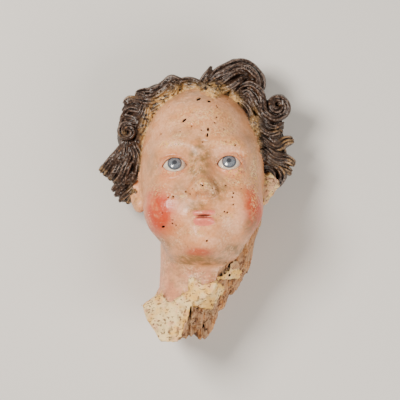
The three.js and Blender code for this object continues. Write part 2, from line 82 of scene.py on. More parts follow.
# Forms of the head in its own frame: name, middle, half lengths, seam, and whether it hollows.
# A form off the middle is carved on both sides.
HEAD_FORMS = [
    ("skull", (0, 16, -5), (53, 63, 62), 0, False),
    ("face", (0, -18, 8), (51, 52, 46), 20, False),
    ("jaw", (0, -45, 15), (40, 30, 33), 18, False),
    ("cheek", (27, -41, 26), (22.5, 23, 24), 16, False),
    ("muzzle", (0, -55, 33), (18, 15, 20), 14, False),
    ("chin", (0, -72.5, 39), (12, 9.5, 12.5), 14, False),
    ("throat", (0, -73, 8), (29, 14, 28), 18, False),
    ("brow", (20, 8, 40), (17, 8, 14), 16, False),
    ("eye hollow", (25, -8, 62), (17, 10, 12), 12, True),
    ("nose root", (0, 0, 46), (6, 12, 7), 9, False),
    ("nose bridge", (0, -19, 53), (6.2, 14, 8.5), 8, False),
    ("nose tip", (0, -31, 61), (6.6, 6.4, 8), 9, False),
    ("nose wing", (7.2, -34.5, 56), (4.6, 4.8, 6.2), 5, False),
    ("lip groove", (0, -45, 61), (2.2, 5, 5), 4, True),
    ("upper lip", (3.8, -53.4, 50.6), (7.8, 2.8, 6.4), 3.5, False),
    ("lip point", (0, -54.2, 54.4), (3.4, 2.4, 3.6), 3, False),
    ("lower lip", (1.8, -60.2, 51.0), (7.2, 3.6, 6.6), 3.5, False),
    ("chin groove", (0, -66.3, 61.5), (9, 3.2, 8), 7, True),
    ("mouth", (0, -56.9, 57.6), (8.6, 1.3, 4.2), 1.6, True),
    ("nostril", (4.2, -39, 62), (2.2, 2.0, 5), 1.5, True),
]
SKULL_MIDDLE = np.array(HEAD_FORMS[0][1], float)
SKULL_HALF = np.array(HEAD_FORMS[0][2], float)

# Lids over the glass
LID_THICKNESS = 2.4
GLASS_CLEARANCE = 0.3
LID_HALF_OPENING = 11.0
LID_HALF_RISE = 6.5


CURL_STEPS_IN_TURN = 12
CURL_CLOSING = 0.82


def volute(middle, radius, start, turns, side):
    """Points of a curl that closes in on its middle, from a start angle in degrees."""
    points = []
    count = turns * CURL_STEPS_IN_TURN
    for step in range(int(count) + 1):
        angle = math.radians(start + side * 360 / CURL_STEPS_IN_TURN * step)
        reach = radius * (1 - CURL_CLOSING * step / count)
        points.append((middle[0] + reach * math.cos(angle), middle[1] + reach * math.sin(angle)))
    return points


# Locks round the face, seen from the front, laid one over another: name, width at root, middle and tip,
# lift towards the viewer, and the points of its middle line from root to tip. Beds lie under the locks.
FRONT_LOCKS = [
    ("crown bed", (10, 12, 9), -6, [(15, 94), (3, 101), (-10, 105), (-20, 105)]),
    ("left bed", (14, 28, 20), -5, [(-19, 101), (-33, 92), (-46, 83), (-56, 71)]),
    ("left curl bed", (18, 26, 20), -6, [(-44, 81), (-52, 67), (-60, 57), (-59, 46)]),
    ("left temple bed", (14, 18, 14), -6, [(-44, 71), (-50, 57), (-53, 42), (-53, 28)]),
    ("left fan bed", (12, 26, 20), -4, [(-59, 51), (-61, 39), (-68, 26)]),
    ("left nape bed", (14, 22, 12), -8, [(-56, 23), (-63, 14), (-65, 4)]),
    ("wave bed", (14, 34, 16), -7, [(15, 97), (28, 106), (40, 108), (53, 101)]),
    ("curl bed", (12, 15, 12), -4, [(67, 86), (72, 86), (77, 86)]),
    ("right bed", (16, 28, 24), -7, [(35, 92), (47, 89), (56, 76), (69, 64)]),
    ("right flick bed", (18, 30, 20), -9, [(51, 67), (60, 53), (67, 39), (65, 24)]),
    ("ear bed", (10, 20, 14), -7, [(58, 37), (65, 26), (63, 17)]),
    ("crown band", (6, 7, 5), 1, [(8, 101), (-1, 107), (-10, 108), (-17, 105)]),
    ("left crest 1", (7, 9, 6), 3,
     [(-8, 104), (-17, 108), (-23, 109), (-29, 104), (-38, 99), (-47, 98), (-54, 97)]),
    ("left crest 2", (7, 8, 5), 6, [(-14, 98), (-23, 103), (-31, 97), (-41, 93), (-50, 94), (-55, 96)]),
    ("left sweep 1", (6, 8, 6), 4, [(-23, 93), (-34, 89), (-44, 88), (-52, 91), (-60, 92), (-65, 87)]),
    ("left sweep 2", (6, 8, 6), 1.5, [(-30, 87), (-42, 82), (-52, 86), (-60, 87), (-66, 81)]),
    ("left sweep 3", (6, 8, 6), 4.5, [(-36, 81), (-46, 77), (-55, 81), (-62, 81), (-68, 73)]),
    ("left sweep 4", (6, 8, 6), 1.5, [(-41, 74), (-50, 71), (-58, 74), (-64, 74), (-69, 67)]),
    ("left fan 1", (7, 11, 10), 0, [(-66, 50), (-72, 41), (-78, 33), (-85, 27)]),
    ("left fan 2", (6, 9, 7), 2, [(-64, 49), (-69, 40), (-75, 31), (-82, 23)]),
    ("left fan 3", (7, 11, 9.5), 1, [(-62, 49), (-64, 40), (-69, 29), (-77, 20)]),
    ("left fan 4", (7, 11, 9.5), 4, [(-60, 49), (-59, 39), (-63, 27), (-72, 16)]),
    ("left fan 5", (6, 9, 8), 1.5, [(-57, 49), (-54, 38), (-57, 26), (-66, 16)]),
    ("left fan 6", (7, 10, 8), 3, [(-54, 49), (-50, 37), (-52, 25), (-59, 16)]),
    ("left nape 1", (6, 8, 6), -2, [(-61, 17), (-69, 16), (-75, 10)]),
    ("left nape 2", (6, 8, 5), -5, [(-59, 15), (-67, 9), (-73, 5)]),
    ("left nape 3", (6, 7, 5), -2, [(-57, 11), (-64, 5), (-69, 0)]),
    ("left nape 4", (6, 7, 4), -5, [(-55, 8), (-60, 1), (-62, -2)]),
    ("tuft", (9, 8, 3), 1, [(4, 101), (7, 109), (11, 116), (13, 121)]),
    ("wave 1", (8, 9, 6), 1, [(13, 110), (23, 119), (36, 124), (48, 122), (57, 113), (59, 105), (58, 97)]),
    ("wave 2", (9, 9, 5), 6, [(9, 105), (21, 113), (35, 119), (45, 119), (53, 112), (55, 103), (54, 97)]),
    ("wave 3", (9, 8, 4), 3, [(7, 99), (20, 105), (32, 113), (41, 115), (47, 113)]),
    ("wave 4", (8, 8, 5), 6, [(14, 96), (25, 99), (35, 105), (42, 109)]),
    ("right curl", (8, 9.5, 8.5), 8,
     [(33, 96), (41, 103), (49, 105), (56, 98), (59, 89), (61, 79), (69, 73)]),
    ("right under curl 1", (6, 8, 6), 4,
     [(37, 92), (45, 97), (52, 89), (55, 80), (61, 71), (69, 66), (78, 70)]),
    ("right under curl 2", (6, 8, 6), 7, [(39, 89), (45, 83), (50, 74), (55, 65), (64, 60), (74, 62)]),
    ("right leaf", (8, 11, 5), -1, [(54, 67), (62, 61), (70, 57), (77, 59)]),
    ("right flick 1", (9, 14, 10), 1, [(54, 59), (63, 53), (71, 50), (79, 53), (85, 54)]),
    ("right flick 2", (9, 13, 8), 4, [(55, 50), (63, 43), (72, 39), (80, 37), (87, 33)]),
    ("right flick 3", (9, 12, 8), 1, [(56, 42), (64, 36), (73, 32), (84, 25)]),
    ("ear curl 1", (7, 9, 6), 4, [(58, 32), (66, 33), (73, 30), (77, 23), (73, 16), (66, 12), (61, 14)]),
    ("ear curl 2", (5, 7, 4), 6, [(58, 25), (63, 28), (68, 24), (67, 18), (62, 16)]),
    ("left curl", (6, 7.5, 7), 5, [(-46, 66), (-53, 68)]),
]
CURLS = {
    "right curl": volute((72.5, 85.0), 8.8, -60, 1.5, 1),
    "left curl": volute((-61.5, 61.5), 7.8, 80, 1.4, 1),
}
LOCK_RELIEF = 0.8
LOCK_MOST_HEIGHT = 11.0
LOCK_ROOT_DEPTH = 1.1
LOCK_SAMPLE = 1.0
LOCK_SWELL = 1.5
LOCK_SWELL_LENGTH = 26.0
# A lock rounds off over this share of its length, down to this share of its width
LOCK_TIP_LENGTH = 0.1
LOCK_END_WIDTH = 0.3
LOCK_LIFT_SPEED = 1.2
# Middle lines run over the skull as a dome, and fall back outside its outline, squared and in shares of it
LOCK_EDGE = 1.02
LOCK_EDGE_BACK = 6
LOCK_DOME = 50
LOCK_FALL = 10
STRAND_WIDTH = 4.2
STRAND_DEPTH = 2.2
STRAND_SWAY = 0.18
HAIR_LINES = 2.3
HAIR_LINE_SHARE = 0.3

# Hair over the back of the head runs from the whorl to the hairline.
WHORL = np.array([0, 0.35, -0.94]) / math.hypot(0.35, 0.94)
HAIR_OVER_SKULL = 3.0
BACK_LOCKS = 18
BACK_LOCK_RELIEF = 3.0
BACK_STRANDS = 5

# Share that a slanted field is eased by, so that it does not overstate the distance
FIELD_EASE = 0.75

# Ears in the frame of the head: middle, half lengths and how far they stand out. The right one is broken.
LEFT_EAR, LEFT_EAR_HALF, LEFT_EAR_TURN = (-55, -8, -8), (6, 21, 14), math.radians(25)
RIGHT_EAR, RIGHT_EAR_HALF = (55, -15.5, -4), (15, 15, 12)
EAR_RIM_HALF = 3.0
EAR_RIM_OUT = 2.5
EAR_LOBE_HALF = (4.5, 7, 6.5)
EAR_BOWL_SHARES = (0.42, 0.45)
EAR_BOWL_DEPTH = 6.5
# The right ear broke off this far out from its middle, leaning out towards the crown
STUMP_REACH = 8
STUMP_SLOPE = 0.75

# Neck: height, and half widths to the left and right of its middle
NECK_MIDDLE = 8.0
NECK_HEIGHTS = (12, -16, -24, -38, -56, -76, -84, -92, -112, -130)
NECK_LEFT = (30, 38, 39, 40, 40, 41, 45, 56, 66, 74)
NECK_RIGHT = (34, 50, 49, 44, 41, 39, 39, 39, 40, 42)
NECK_HALF_DEPTH = 38.0

# Lowest wood across the neck, where it tore away
TORN_ACROSS = (-60, -47, -44, -39, -35, -31, -10, 0, 8, 15, 20, 26, 29, 38, 45, 49, 52, 56, 62)
TORN_HEIGHT = (
    -88, -93, -103, -110, -116, -122, -122, -124, -123, -116, -101, -95, -86, -77, -69, -54, -38, -26, -19,
)
TEAR_START = -11.0
TEAR_FADE = 8.0
TEAR_BACK = 6.0
TEAR_SLOPE = 0.85
TEAR_RISE = 42.0
TEAR_HOLLOW = 8.0
FIBRE_WIDTHS = (5.6, 2.3)
FIBRE_STEPS = (4.4, 2.8)
TORN_EASE = 0.72
CRACK_FRONT = 40
# Drying cracks: place across, lean, top, foot, half width and depth
CRACKS = [
    (-5.0, 0.10, -89, -128, 2.6, 22),
    (2.6, -0.02, -90, -124, 0.9, 12),
    (6.8, -0.03, -90, -120, 1.3, 14),
    (12.5, 0.06, -92, -118, 1.1, 14),
    (18.0, 0.20, -86, -106, 1.0, 14),
    (31.0, 0.35, -66, -84, 1.0, 12),
    (44.0, 0.12, -42, -66, 0.9, 12),
]

# Gesso laid bare where the paint is lost, as outlines seen from the front
GESSO_OUTLINES = [
    [(-48, -92), (-41, -89.5), (-35.6, -83), (-30, -82.5), (-26, -87), (-22, -88.5), (-14.5, -85),
     (-9, -79.5), (-5.8, -89), (-6.8, -99), (-10.7, -108.5), (-14.5, -118), (-17.4, -126), (-38, -132),
     (-75, -110), (-75, -90)],
    [(-6.8, -68.8), (-2.8, -66), (0.9, -68.8), (3.8, -71.6), (10.7, -71.2), (16.4, -69.9), (22.3, -71.6),
     (23.1, -79.5), (20.3, -84), (16.4, -89), (13.5, -93.5), (6.8, -93), (-2, -93), (-5.8, -89),
     (-8.7, -85.3), (-11.6, -82.3), (-6.8, -77.5)],
    [(19.3, -66.9), (24, -65), (27.5, -61.5), (30, -55), (34, -52.8), (36.7, -56.2), (38.6, -61.9),
     (37.6, -67.9), (31.9, -68.4), (26, -67.9)],
]
GESSO_THICKNESS = 1.6
GESSO_TOP = -60

# Glass eyes
GAZE = (0.0, 0.16, 0.99)
IRIS_RADIUS = 6.2
CORNEA_RISE = 0.5

# Paint zones, in the frame of the head: middle across and up, half width, half height, strength
ROUGE = [
    (-38, -48, 16, 20, 1.0), (-42, -34, 10, 12, 0.8), (44, -48, 10, 20, 1.0), (42, -36, 7, 10, 0.8),
]
# Rouge under the chin, seen from the front
CHIN_ROUGE = [(2, -44, 13, 4.5, 0.85)]
# Paint lost to the gesso, seen from the front
LOSSES = [
    (34, 25, 10, 5, 1.0), (0, -27, 11, 2.5, 0.7), (6, 14, 7, 6, 0.8), (-8, 68, 18, 4, 0.5),
    (24, -12, 9, 4, 0.7), (-22, 49, 12, 3, 1.0), (28, 50, 12, 3, 1.0), (-12, 4, 8, 3, 0.6),
    (2, 76, 26, 6, 0.5), (-36, 10, 6, 6, 0.5), (22, 60, 14, 5, 0.7), (50, 20, 4, 30, 0.8),
    (31, -68, 8, 6, 0.8), (-10, -80, 9, 7, 0.35), (-20, 24, 12, 3, 0.5), (-4, 30, 5, 10, 0.4),
    (-55, 2, 5, 12, 0.9), (34, 18, 12, 4, 0.9), (22, 66, 20, 12, 0.35), (-18, 57, 12, 3, 0.5),
]
TIP_WEAR = [
    (81, 54, 6, 5, 1.0), (85, 35, 5, 5, 0.9), (76, 46, 8, 3, 0.6), (-84, 27, 4, 4, 0.9),
    (-76, 18, 5, 3, 0.7), (-60, 94, 6, 3, 0.6), (80, 27, 6, 4, 0.7), (72, 62, 5, 3, 0.5),
    (-60, 0, 6, 5, 0.8), (-66, 60, 4, 3, 0.4),
]
ROOT_WEAR = [
    (-24, 89, 20, 9, 1.0), (-40, 76, 9, 12, 0.8), (-8, 98, 16, 7, 0.7), (16, 97, 13, 8, 0.9),
    (32, 88, 8, 8, 0.7), (-45, 45, 5, 40, 0.7), (52, 60, 5, 30, 0.4), (80, 55, 8, 8, 0.9),
    (78, 36, 9, 7, 0.6), (-80, 24, 9, 7, 0.7), (-58, 6, 8, 8, 0.5), (-52, 95, 8, 5, 0.7),
]
# Grey-brown dirt mottling, seen from the front; the two thin full-strength bands just under the chin are
# painted shade under the jaw
GRIME_AND_SHADE = [
    (2, 34, 12, 24, 1.0), (18, 10, 10, 14, 0.9), (-14, 8, 8, 12, 0.7), (0, -50, 32, 4, 1.0),
    (-30, -38, 10, 8, 0.9), (34, -42, 14, 6, 1.0), (46, 40, 10, 30, 0.3), (-34, -44, 10, 8, 0.7),
    (0, -4, 12, 5, 0.8), (48, -24, 8, 16, 0.8), (4, -53, 34, 3, 1.0), (-8, -64, 44, 10, 0.6),
    (-30, -78, 14, 14, 0.5), (-34, -42, 6, 10, 0.9), (40, -44, 8, 8, 0.9), (38, -80, 12, 12, 0.9),
    (52, -58, 7, 18, 0.9), (26, -98, 6, 8, 0.6), (-4, 92, 34, 8, 0.6), (-38, 30, 8, 18, 0.6),
    (-22, 36, 14, 5, 0.6), (25, 36, 14, 5, 0.7), (10, -64, 26, 5, 0.7), (30, 74, 16, 14, 0.35),
    (-12, 58, 12, 8, 0.5), (-57, -2, 5, 10, 0.7),
]

# Worm holes: place across and up, radius, extra length and turn, seen from the front
HOLE_SEED = 7
HOLE_DEPTH = 5.0
SURFACE_STEPS = 140
NAMED_HOLES = [
    (2, 89, 1.0, 1.6, 25), (11, 87, 0.9, 0.8, 0), (18.5, 82, 1.0, 0, 0), (-10.5, 70, 1.0, 1.8, 40),
    (16, 68, 0.9, 0, 0), (10, 62, 1.1, 0.8, 85), (9.5, 57, 0.9, 1.2, 80), (-24, 83, 0.9, 0, 0),
    (-4, 65, 0.8, 0, 0), (24, 62, 0.8, 0, 0), (27, 90, 0.8, 0, 0), (-20, 4, 1.0, 0, 0),
    (-28.5, -22, 1.1, 0.6, 10), (-17.5, -21, 0.7, 0, 0), (9, -34, 1.1, 0, 0), (24, -9, 0.8, 0, 0),
    (-32, -49, 0.9, 0, 0), (29, -65, 1.1, 0.4, 60), (5.3, -111, 1.7, 0.6, 90), (7.5, -114, 1.1, 0, 0),
]
# Scattered holes: middle across and up, half width, half height, count
HOLE_FIELDS = [
    (4, 10, 14, 6, 9), (6, 60, 40, 30, 8), (34, 0, 12, 20, 6), (-26, -8, 10, 14, 4), (48, -50, 5, 22, 6),
]

# Camera straight over the face, as in the photograph: a long lens over a frame of this width
CAMERA_OVER = (0.0027, -0.0022)
CAMERA_HEIGHT = 1.86
CAMERA_LENS = 182.0
LIGHT_COLOUR = (1.0, 0.93, 0.84)
ROOM_COLOUR = (1.0, 0.96, 0.92, 1.0)
ROOM_STRENGTH = 0.22


def turn_of_head():
    """Rotation matrix from the head's own frame to the frame of the model."""
    lean_cos, lean_sin = math.cos(LEAN), math.sin(LEAN)
    tip_cos, tip_sin = math.cos(-TIP_BACK), math.sin(-TIP_BACK)
    lean = np.array([[lean_cos, -lean_sin, 0], [lean_sin, lean_cos, 0], [0, 0, 1]])
    tip = np.array([[1, 0, 0], [0, tip_cos, -tip_sin], [0, tip_sin, tip_cos]])
    return lean @ tip


HEAD_TURN = turn_of_head()
BETWEEN_EYES = np.array([0, EYE_PLACE[1], EYE_PLACE[2] - EYE_RADIUS])
FRAME_SHIFT = (EYE_MIDDLES[0] + EYE_MIDDLES[1]) / 2 - HEAD_CENTRE - HEAD_TURN @ BETWEEN_EYES
LID_MIDDLES = [middle - FRAME_SHIFT for middle in EYE_MIDDLES]


def in_head(points):
    return (points - HEAD_CENTRE) @ HEAD_TURN


def scatter(cells, seed):
    """Steady random number from 0 to 1 for each whole-numbered cell."""
    mixed = np.full(cells[0].shape, seed * 7919 + 17, dtype=np.uint32)
    for cell, factor in zip(cells, (374761393, 668265263, 2246822519)):
        mixed = mixed ^ (cell.astype(np.int64).astype(np.uint32) * np.uint32(factor))
        mixed = (mixed ^ (mixed >> np.uint32(13))) * np.uint32(1274126177)
        mixed = mixed ^ (mixed >> np.uint32(16))
    return (mixed & np.uint32(0xFFFFFF)) / float(0xFFFFFF)


def noise(columns, size, seed):
    """Smooth noise from -1 to 1 with lumps of the given size. Columns is a list of coordinate arrays."""
    scaled = [column / size for column in columns]
    low = [np.floor(value).astype(np.int64) for value in scaled]
    part = [value - floor for value, floor in zip(scaled, low)]
    part = [value * value * (3 - 2 * value) for value in part]
    total = np.zeros(columns[0].shape)
    for corner in range(2 ** len(columns)):
        steps = [(corner >> axis) & 1 for axis in range(len(columns))]
        weight = np.ones(columns[0].shape)
        for step, value in zip(steps, part):
            weight = weight * (value if step else 1 - value)
        total += weight * scatter([floor + step for floor, step in zip(low, steps)], seed)
    return total * 2 - 1


def smooth_step(low, high, value):
    part = np.clip((value - low) / (high - low), 0, 1)
    return part * part * (3 - 2 * part)


def ellipsoid(points, middle, half):
    offset = points - np.asarray(middle, float)
    half = np.asarray(half, float)
    scaled = np.sqrt(((offset / half) ** 2).sum(-1))
    slope = np.sqrt(((offset / (half * half)) ** 2).sum(-1))
    return scaled * (scaled - 1) / np.maximum(slope, 1e-6)


def soft_join(first, second, seam):
    if seam <= 0:
        return np.minimum(first, second)
    overlap = np.maximum(seam - np.abs(first - second), 0) / seam
    return np.minimum(first, second) - overlap * overlap * seam / 4


def soft_cut(first, second, seam):
    return -soft_join(-first, second, seam)


def skin(local):
    """Distance to the bare head, in its own frame."""
    mirrored = local.copy()
    mirrored[:, 0] = np.abs(local[:, 0])
    total = ellipsoid(local, HEAD_FORMS[0][1], HEAD_FORMS[0][2])
    near_face = local[:, 2] > -62
    face = total[near_face]
    for middle, half, seam, hollows in (form[1:] for form in HEAD_FORMS[1:]):
        form = ellipsoid((mirrored if middle[0] else local)[near_face], middle, half)
        face = soft_cut(face, form, seam) if hollows else soft_join(face, form, seam)
    total[near_face] = face
    return total


def lids(points, total):
    """Lids round each glass ball, with an opening of two arcs that meet at the corners."""
    arc = (LID_HALF_OPENING ** 2 + LID_HALF_RISE ** 2) / (2 * LID_HALF_RISE)
    for middle in LID_MIDDLES:
        offset = (points - middle) @ HEAD_TURN
        away = np.sqrt((offset ** 2).sum(-1))
        near = away < 3 * EYE_RADIUS
        x, y, z = offset[near].T
        ball = away[near]
        part = soft_join(total[near], ball - EYE_RADIUS - GLASS_CLEARANCE - LID_THICKNESS, 1.4)
        lift = arc - LID_HALF_RISE
        opening = np.maximum(np.hypot(x, y + lift), np.hypot(x, y - lift)) - arc
        part = soft_cut(part, np.maximum(opening, 3 - z), 1.2)
        total[near] = np.maximum(part, EYE_RADIUS + GLASS_CLEARANCE - ball)
    return total


def ear(local, middle, half, turn_out, total):
    """One ear: a plate with a rolled rim, a bowl and a lobe, turned out from the head at the back."""
    side = math.copysign(1, middle[0])
    offset = local - np.asarray(middle, float)
    near = np.abs(offset).max(-1) < 40
    x, y, z = offset[near].T
    x = x * side
    out, forward = math.cos(turn_out), math.sin(turn_out)
    plate_x = x * out + z * forward
    plate_z = z * out - x * forward
    flat = np.stack([plate_x, y, plate_z], -1)
    shape = ellipsoid(flat, (0, 0, 0), (half[0], half[1] - 2, half[2] - 2))
    ring = np.hypot(y / (half[1] - 3), plate_z / (half[2] - 3))
    rim = np.hypot((ring - 1) * half[2] * 1.1, plate_x - EAR_RIM_OUT) - EAR_RIM_HALF
    rim = rim + 5 * smooth_step(4, 10, plate_z) * smooth_step(6, -4, y)
    lobe = ellipsoid(flat, (1, 5 - half[1], 1), EAR_LOBE_HALF)
    shape = soft_join(soft_join(shape, rim, 2.5), lobe, 4)
    bowl_half = (EAR_BOWL_DEPTH, half[1] * EAR_BOWL_SHARES[0], half[2] * EAR_BOWL_SHARES[1])
    bowl = ellipsoid(flat, (6, -2, 1), bowl_half)
    shape = soft_cut(shape, bowl, 2.5)
    total[near] = soft_join(total[near], shape, 4)
    return total


def ear_stump(local):
    """Distance to what is left of the right ear: a lump of gesso and wood, broken off to a ragged edge."""
    x, y, z = local.T
    shape = ellipsoid(local, RIGHT_EAR, RIGHT_EAR_HALF)
    near = shape < 12
    place = [x[near], y[near], z[near]]
    lumps = noise(place, 6, 51) * 1.5 + noise(place, 2.4, 52) * 0.7
    edge = x[near] - RIGHT_EAR[0] - STUMP_REACH - STUMP_SLOPE * (y[near] - RIGHT_EAR[1])
    edge = edge * FIELD_EASE + lumps
    shape[near] = np.maximum(shape[near] + lumps, edge)
    return shape


def neck(points):
    x, y, z = points.T
    left = np.interp(-y, [-height for height in NECK_HEIGHTS], NECK_LEFT)
    right = np.interp(-y, [-height for height in NECK_HEIGHTS], NECK_RIGHT)
    across = x - NECK_MIDDLE
    half = np.where(across < 0, left, right)
    deep = z - HEAD_CENTRE[2]
    ring = np.hypot(across / half, deep / NECK_HALF_DEPTH)
    return np.maximum((ring - 1) * NECK_HALF_DEPTH, y - NECK_HEIGHTS[0])


def tear_height(x, z):
    """Lowest sound wood at each place across the neck. It slopes back from the front on the right."""
    height = np.interp(x, TORN_ACROSS, TORN_HEIGHT)
    right_of_start = np.clip((x - TEAR_START) / TEAR_FADE, 0, 1)
    in_front = np.clip((z - HEAD_CENTRE[2] + TEAR_BACK) * TEAR_SLOPE, 0, TEAR_RISE)
    return height + right_of_start * in_front


def torn_wood(points):
    """Distance past the torn end: fibres along Y that broke off at different lengths, with drying cracks."""
    x, y, z = points.T
    hollow = TEAR_HOLLOW * (1 - 0.6 * smooth_step(12, 24, x))
    height = tear_height(x, z) + hollow * smooth_step(0.1, 0.8, noise([x, z], 8, 35))
    wander = noise([x, y / 3, z], 9, 5) * 1.3
    for seed, (width, step) in enumerate(zip(FIBRE_WIDTHS, FIBRE_STEPS)):
        cells = [np.floor((x + wander) / width), np.floor((z - wander) / width)]
        height = height + scatter(cells, seed + 11) * step
    ridge = noise([x + wander, z * 0.2 + wander], 2.4, 31) * 2.2 + noise([x, y / 9, z], 3.2, 33) * 1.4
    total = (height - y + ridge) * TORN_EASE
    for middle, lean, top, foot, half, depth in CRACKS:
        line = x - middle - lean * (y - top) + wander * 0.4
        taper = half * np.sqrt(np.clip((top - y) / (top - foot), 0, 1))
        face_z = HEAD_CENTRE[2] + CRACK_FRONT - depth
        crack = np.minimum(taper - np.abs(line), np.minimum(z - face_z, top - y))
        total = np.maximum(total, crack)
    return total


def outline_distance(x, y, outline):
    """Distance to a closed outline, negative inside."""
    corners = np.array(outline, float)
    following = np.roll(corners, -1, axis=0)
    nearest = np.full(x.shape, np.inf)
    inside = np.zeros(x.shape, bool)
    for (x0, y0), (x1, y1) in zip(corners, following):
        dx, dy = x1 - x0, y1 - y0
        part = np.clip(((x - x0) * dx + (y - y0) * dy) / (dx * dx + dy * dy), 0, 1)
        nearest = np.minimum(nearest, np.hypot(x - x0 - part * dx, y - y0 - part * dy))
        if dy:
            crosses = (y0 > y) != (y1 > y)
            inside ^= crosses & (x < x0 + (y - y0) * dx / dy)
    return np.where(inside, -nearest, nearest)


def gesso_edge(points):
    """Distance to the ragged edge of the bare gesso, seen from the front, negative inside it."""
    x, y = points[:, 0], points[:, 1]
    edge = np.minimum.reduce([outline_distance(x, y, outline) for outline in GESSO_OUTLINES])
    return edge + noise([x, y], 4.5, 41) * 1.3 + noise([x, y], 1.9, 42) * 0.8


def gesso(points):
    """Distance to the crust of gesso, which bridges the skin of the neck and the torn wood."""
    x, y, z = points.T
    smooth = np.maximum(neck(points), (tear_height(x, z) + 2 - y) * TORN_EASE)
    lumps = noise([x, y, z], 6, 43) * 0.5 + noise([x, y, z], 2.3, 44) * 0.3
    pits = smooth_step(0.35, 0.7, noise([x, y, z], 1.8, 45)) * 1.2
    crust = smooth - GESSO_THICKNESS - lumps + pits
    return np.maximum(crust, np.maximum(gesso_edge(points) * 0.8, HEAD_CENTRE[2] - 8 - z))


def smooth_line(corners):
    """Samples of a smooth curve through the corners, about a sample apart."""
    corners = np.array(corners, float)
    ends = np.vstack([2 * corners[0] - corners[1], corners, 2 * corners[-1] - corners[-2]])
    samples = []
    for index in range(1, len(ends) - 2):
        before, first, second, after = ends[index - 1:index + 3]
        count = max(2, round(np.linalg.norm(second - first) / LOCK_SAMPLE))
        part = (np.arange(count) / count)[:, None]
        samples.append(first + 0.5 * part * (second - before + part * (
            2 * before - 5 * first + 4 * second - after + part * (3 * (first - second) + after - before))))
    return np.vstack(samples + [corners[-1:]])


def lock_path(lock):
    """Middle line of a front lock: places, square directions, half widths and heights."""
    name, widths, lift, corners = lock
    path = smooth_line(corners + CURLS.get(name, []))
    forward = np.gradient(path, axis=0)
    forward /= np.linalg.norm(forward, axis=1, keepdims=True)
    run = np.concatenate([[0], np.cumsum(np.linalg.norm(np.diff(path, axis=0), axis=1))])
    share = run / run[-1]
    end = np.where(share < 0.5, widths[0], widths[2])
    width = end + (widths[1] - end) * np.sin(math.pi * share)
    past_tip = np.maximum(0, (share - (1 - LOCK_TIP_LENGTH)) / LOCK_TIP_LENGTH)
    tip = np.sqrt(np.maximum(0, 1 - past_tip ** 2))
    half = width / 2 * np.maximum(tip, LOCK_END_WIDTH)
    skull_y = HEAD_CENTRE[1] + SKULL_MIDDLE[1] * math.cos(TIP_BACK) + SKULL_MIDDLE[2] * math.sin(TIP_BACK)
    out = ((path[:, 0] - HEAD_CENTRE[0]) / SKULL_HALF[0]) ** 2 + ((path[:, 1] - skull_y) / SKULL_HALF[1]) ** 2
    level = HEAD_CENTRE[2] - LOCK_EDGE_BACK + LOCK_DOME * np.sqrt(np.maximum(0, LOCK_EDGE - out))
    level = level - LOCK_FALL * np.maximum(0, out - LOCK_EDGE)
    level = level + lift * np.sin(math.pi * np.minimum(share * LOCK_LIFT_SPEED, 1) * 0.5)
    level = level + LOCK_SWELL * np.sin(2 * math.pi * run / LOCK_SWELL_LENGTH + corners[0][0])
    square = np.stack([forward[:, 1], -forward[:, 0]], -1)
    strands = max(2, round(widths[1] / STRAND_WIDTH))
    return {"path": path, "square": square, "half": half, "level": level, "strands": strands, "run": run}


def lock_distance(lock, points, strand_depth):
    """Distance to one lock: an oval bar along its path, with gouge cuts between its strands."""
    path, half, level = lock["path"], lock["half"], lock["level"]
    x, y, z = points.T
    away = (x[:, None] - path[None, :, 0]) ** 2 + (y[:, None] - path[None, :, 1]) ** 2
    nearest = np.argmin(away / half[None, :] ** 2, axis=1)
    dx, dy = x - path[nearest, 0], y - path[nearest, 1]
    wide = half[nearest]
    square = lock["square"][nearest]
    across = (dx * square[:, 0] + dy * square[:, 1]) / wide
    across = across + STRAND_SWAY * np.sin(2 * math.pi * lock["run"][nearest] / LOCK_SWELL_LENGTH)
    rise = z - level[nearest]
    thick = np.minimum(wide * 2, LOCK_MOST_HEIGHT) * np.where(rise > 0, LOCK_RELIEF, LOCK_ROOT_DEPTH)
    ring = np.sqrt((dx * dx + dy * dy) / wide ** 2 + (rise / thick) ** 2)
    turn = math.pi * lock["strands"] * (np.clip(across + 0.1 * np.sin(math.pi * across), -1, 1) + 1) / 2
    strand = 1 - np.abs(np.sin(turn))
    line = 1 - np.abs(np.sin(turn * HAIR_LINES + lock["run"][nearest] * 0.06))
    fade = 0.65 + 0.35 * np.sin(lock["run"][nearest] * 0.31 + across * 3)
    cut = strand_depth * (strand ** 1.3 * fade + HAIR_LINE_SHARE * line ** 2 * (1 - fade * 0.5))
    return (ring - 1) * np.minimum(wide, thick) + cut


def hair_bed(local, strand_depth):
    """Distance to the hair over the back of the head, in wavy locks from the whorl."""
    offset = local - SKULL_MIDDLE
    reach = np.sqrt((offset ** 2).sum(-1)) + 1e-6
    direction = offset / reach[:, None]
    along = np.arccos(np.clip(direction @ WHORL, -1, 1))
    side = np.array([1.0, 0.0, 0.0])
    up = np.cross(WHORL, side)
    around = np.arctan2(direction @ up, direction @ side)
    sway = 0.17 * np.sin(along * 5.2 + 1.7 * np.sin(2 * around)) + 0.06 * np.sin(along * 11 + around * 3)
    turn = (around + sway) * BACK_LOCKS / 2
    ridge = np.abs(np.cos(turn))
    strand = np.abs(np.sin(turn * BACK_STRANDS))
    fade = smooth_step(0.05, 0.5, along)
    relief = BACK_LOCK_RELIEF * ridge * fade - 0.6 * strand_depth * (1 - strand) ** 1.5 * fade
    shell = ellipsoid(local, SKULL_MIDDLE, SKULL_HALF + HAIR_OVER_SKULL) - relief
    hairline = -(offset @ WHORL)
    return np.maximum(shell, hairline - 1.5)


LOCKS = [lock_path(lock) for lock in FRONT_LOCKS]


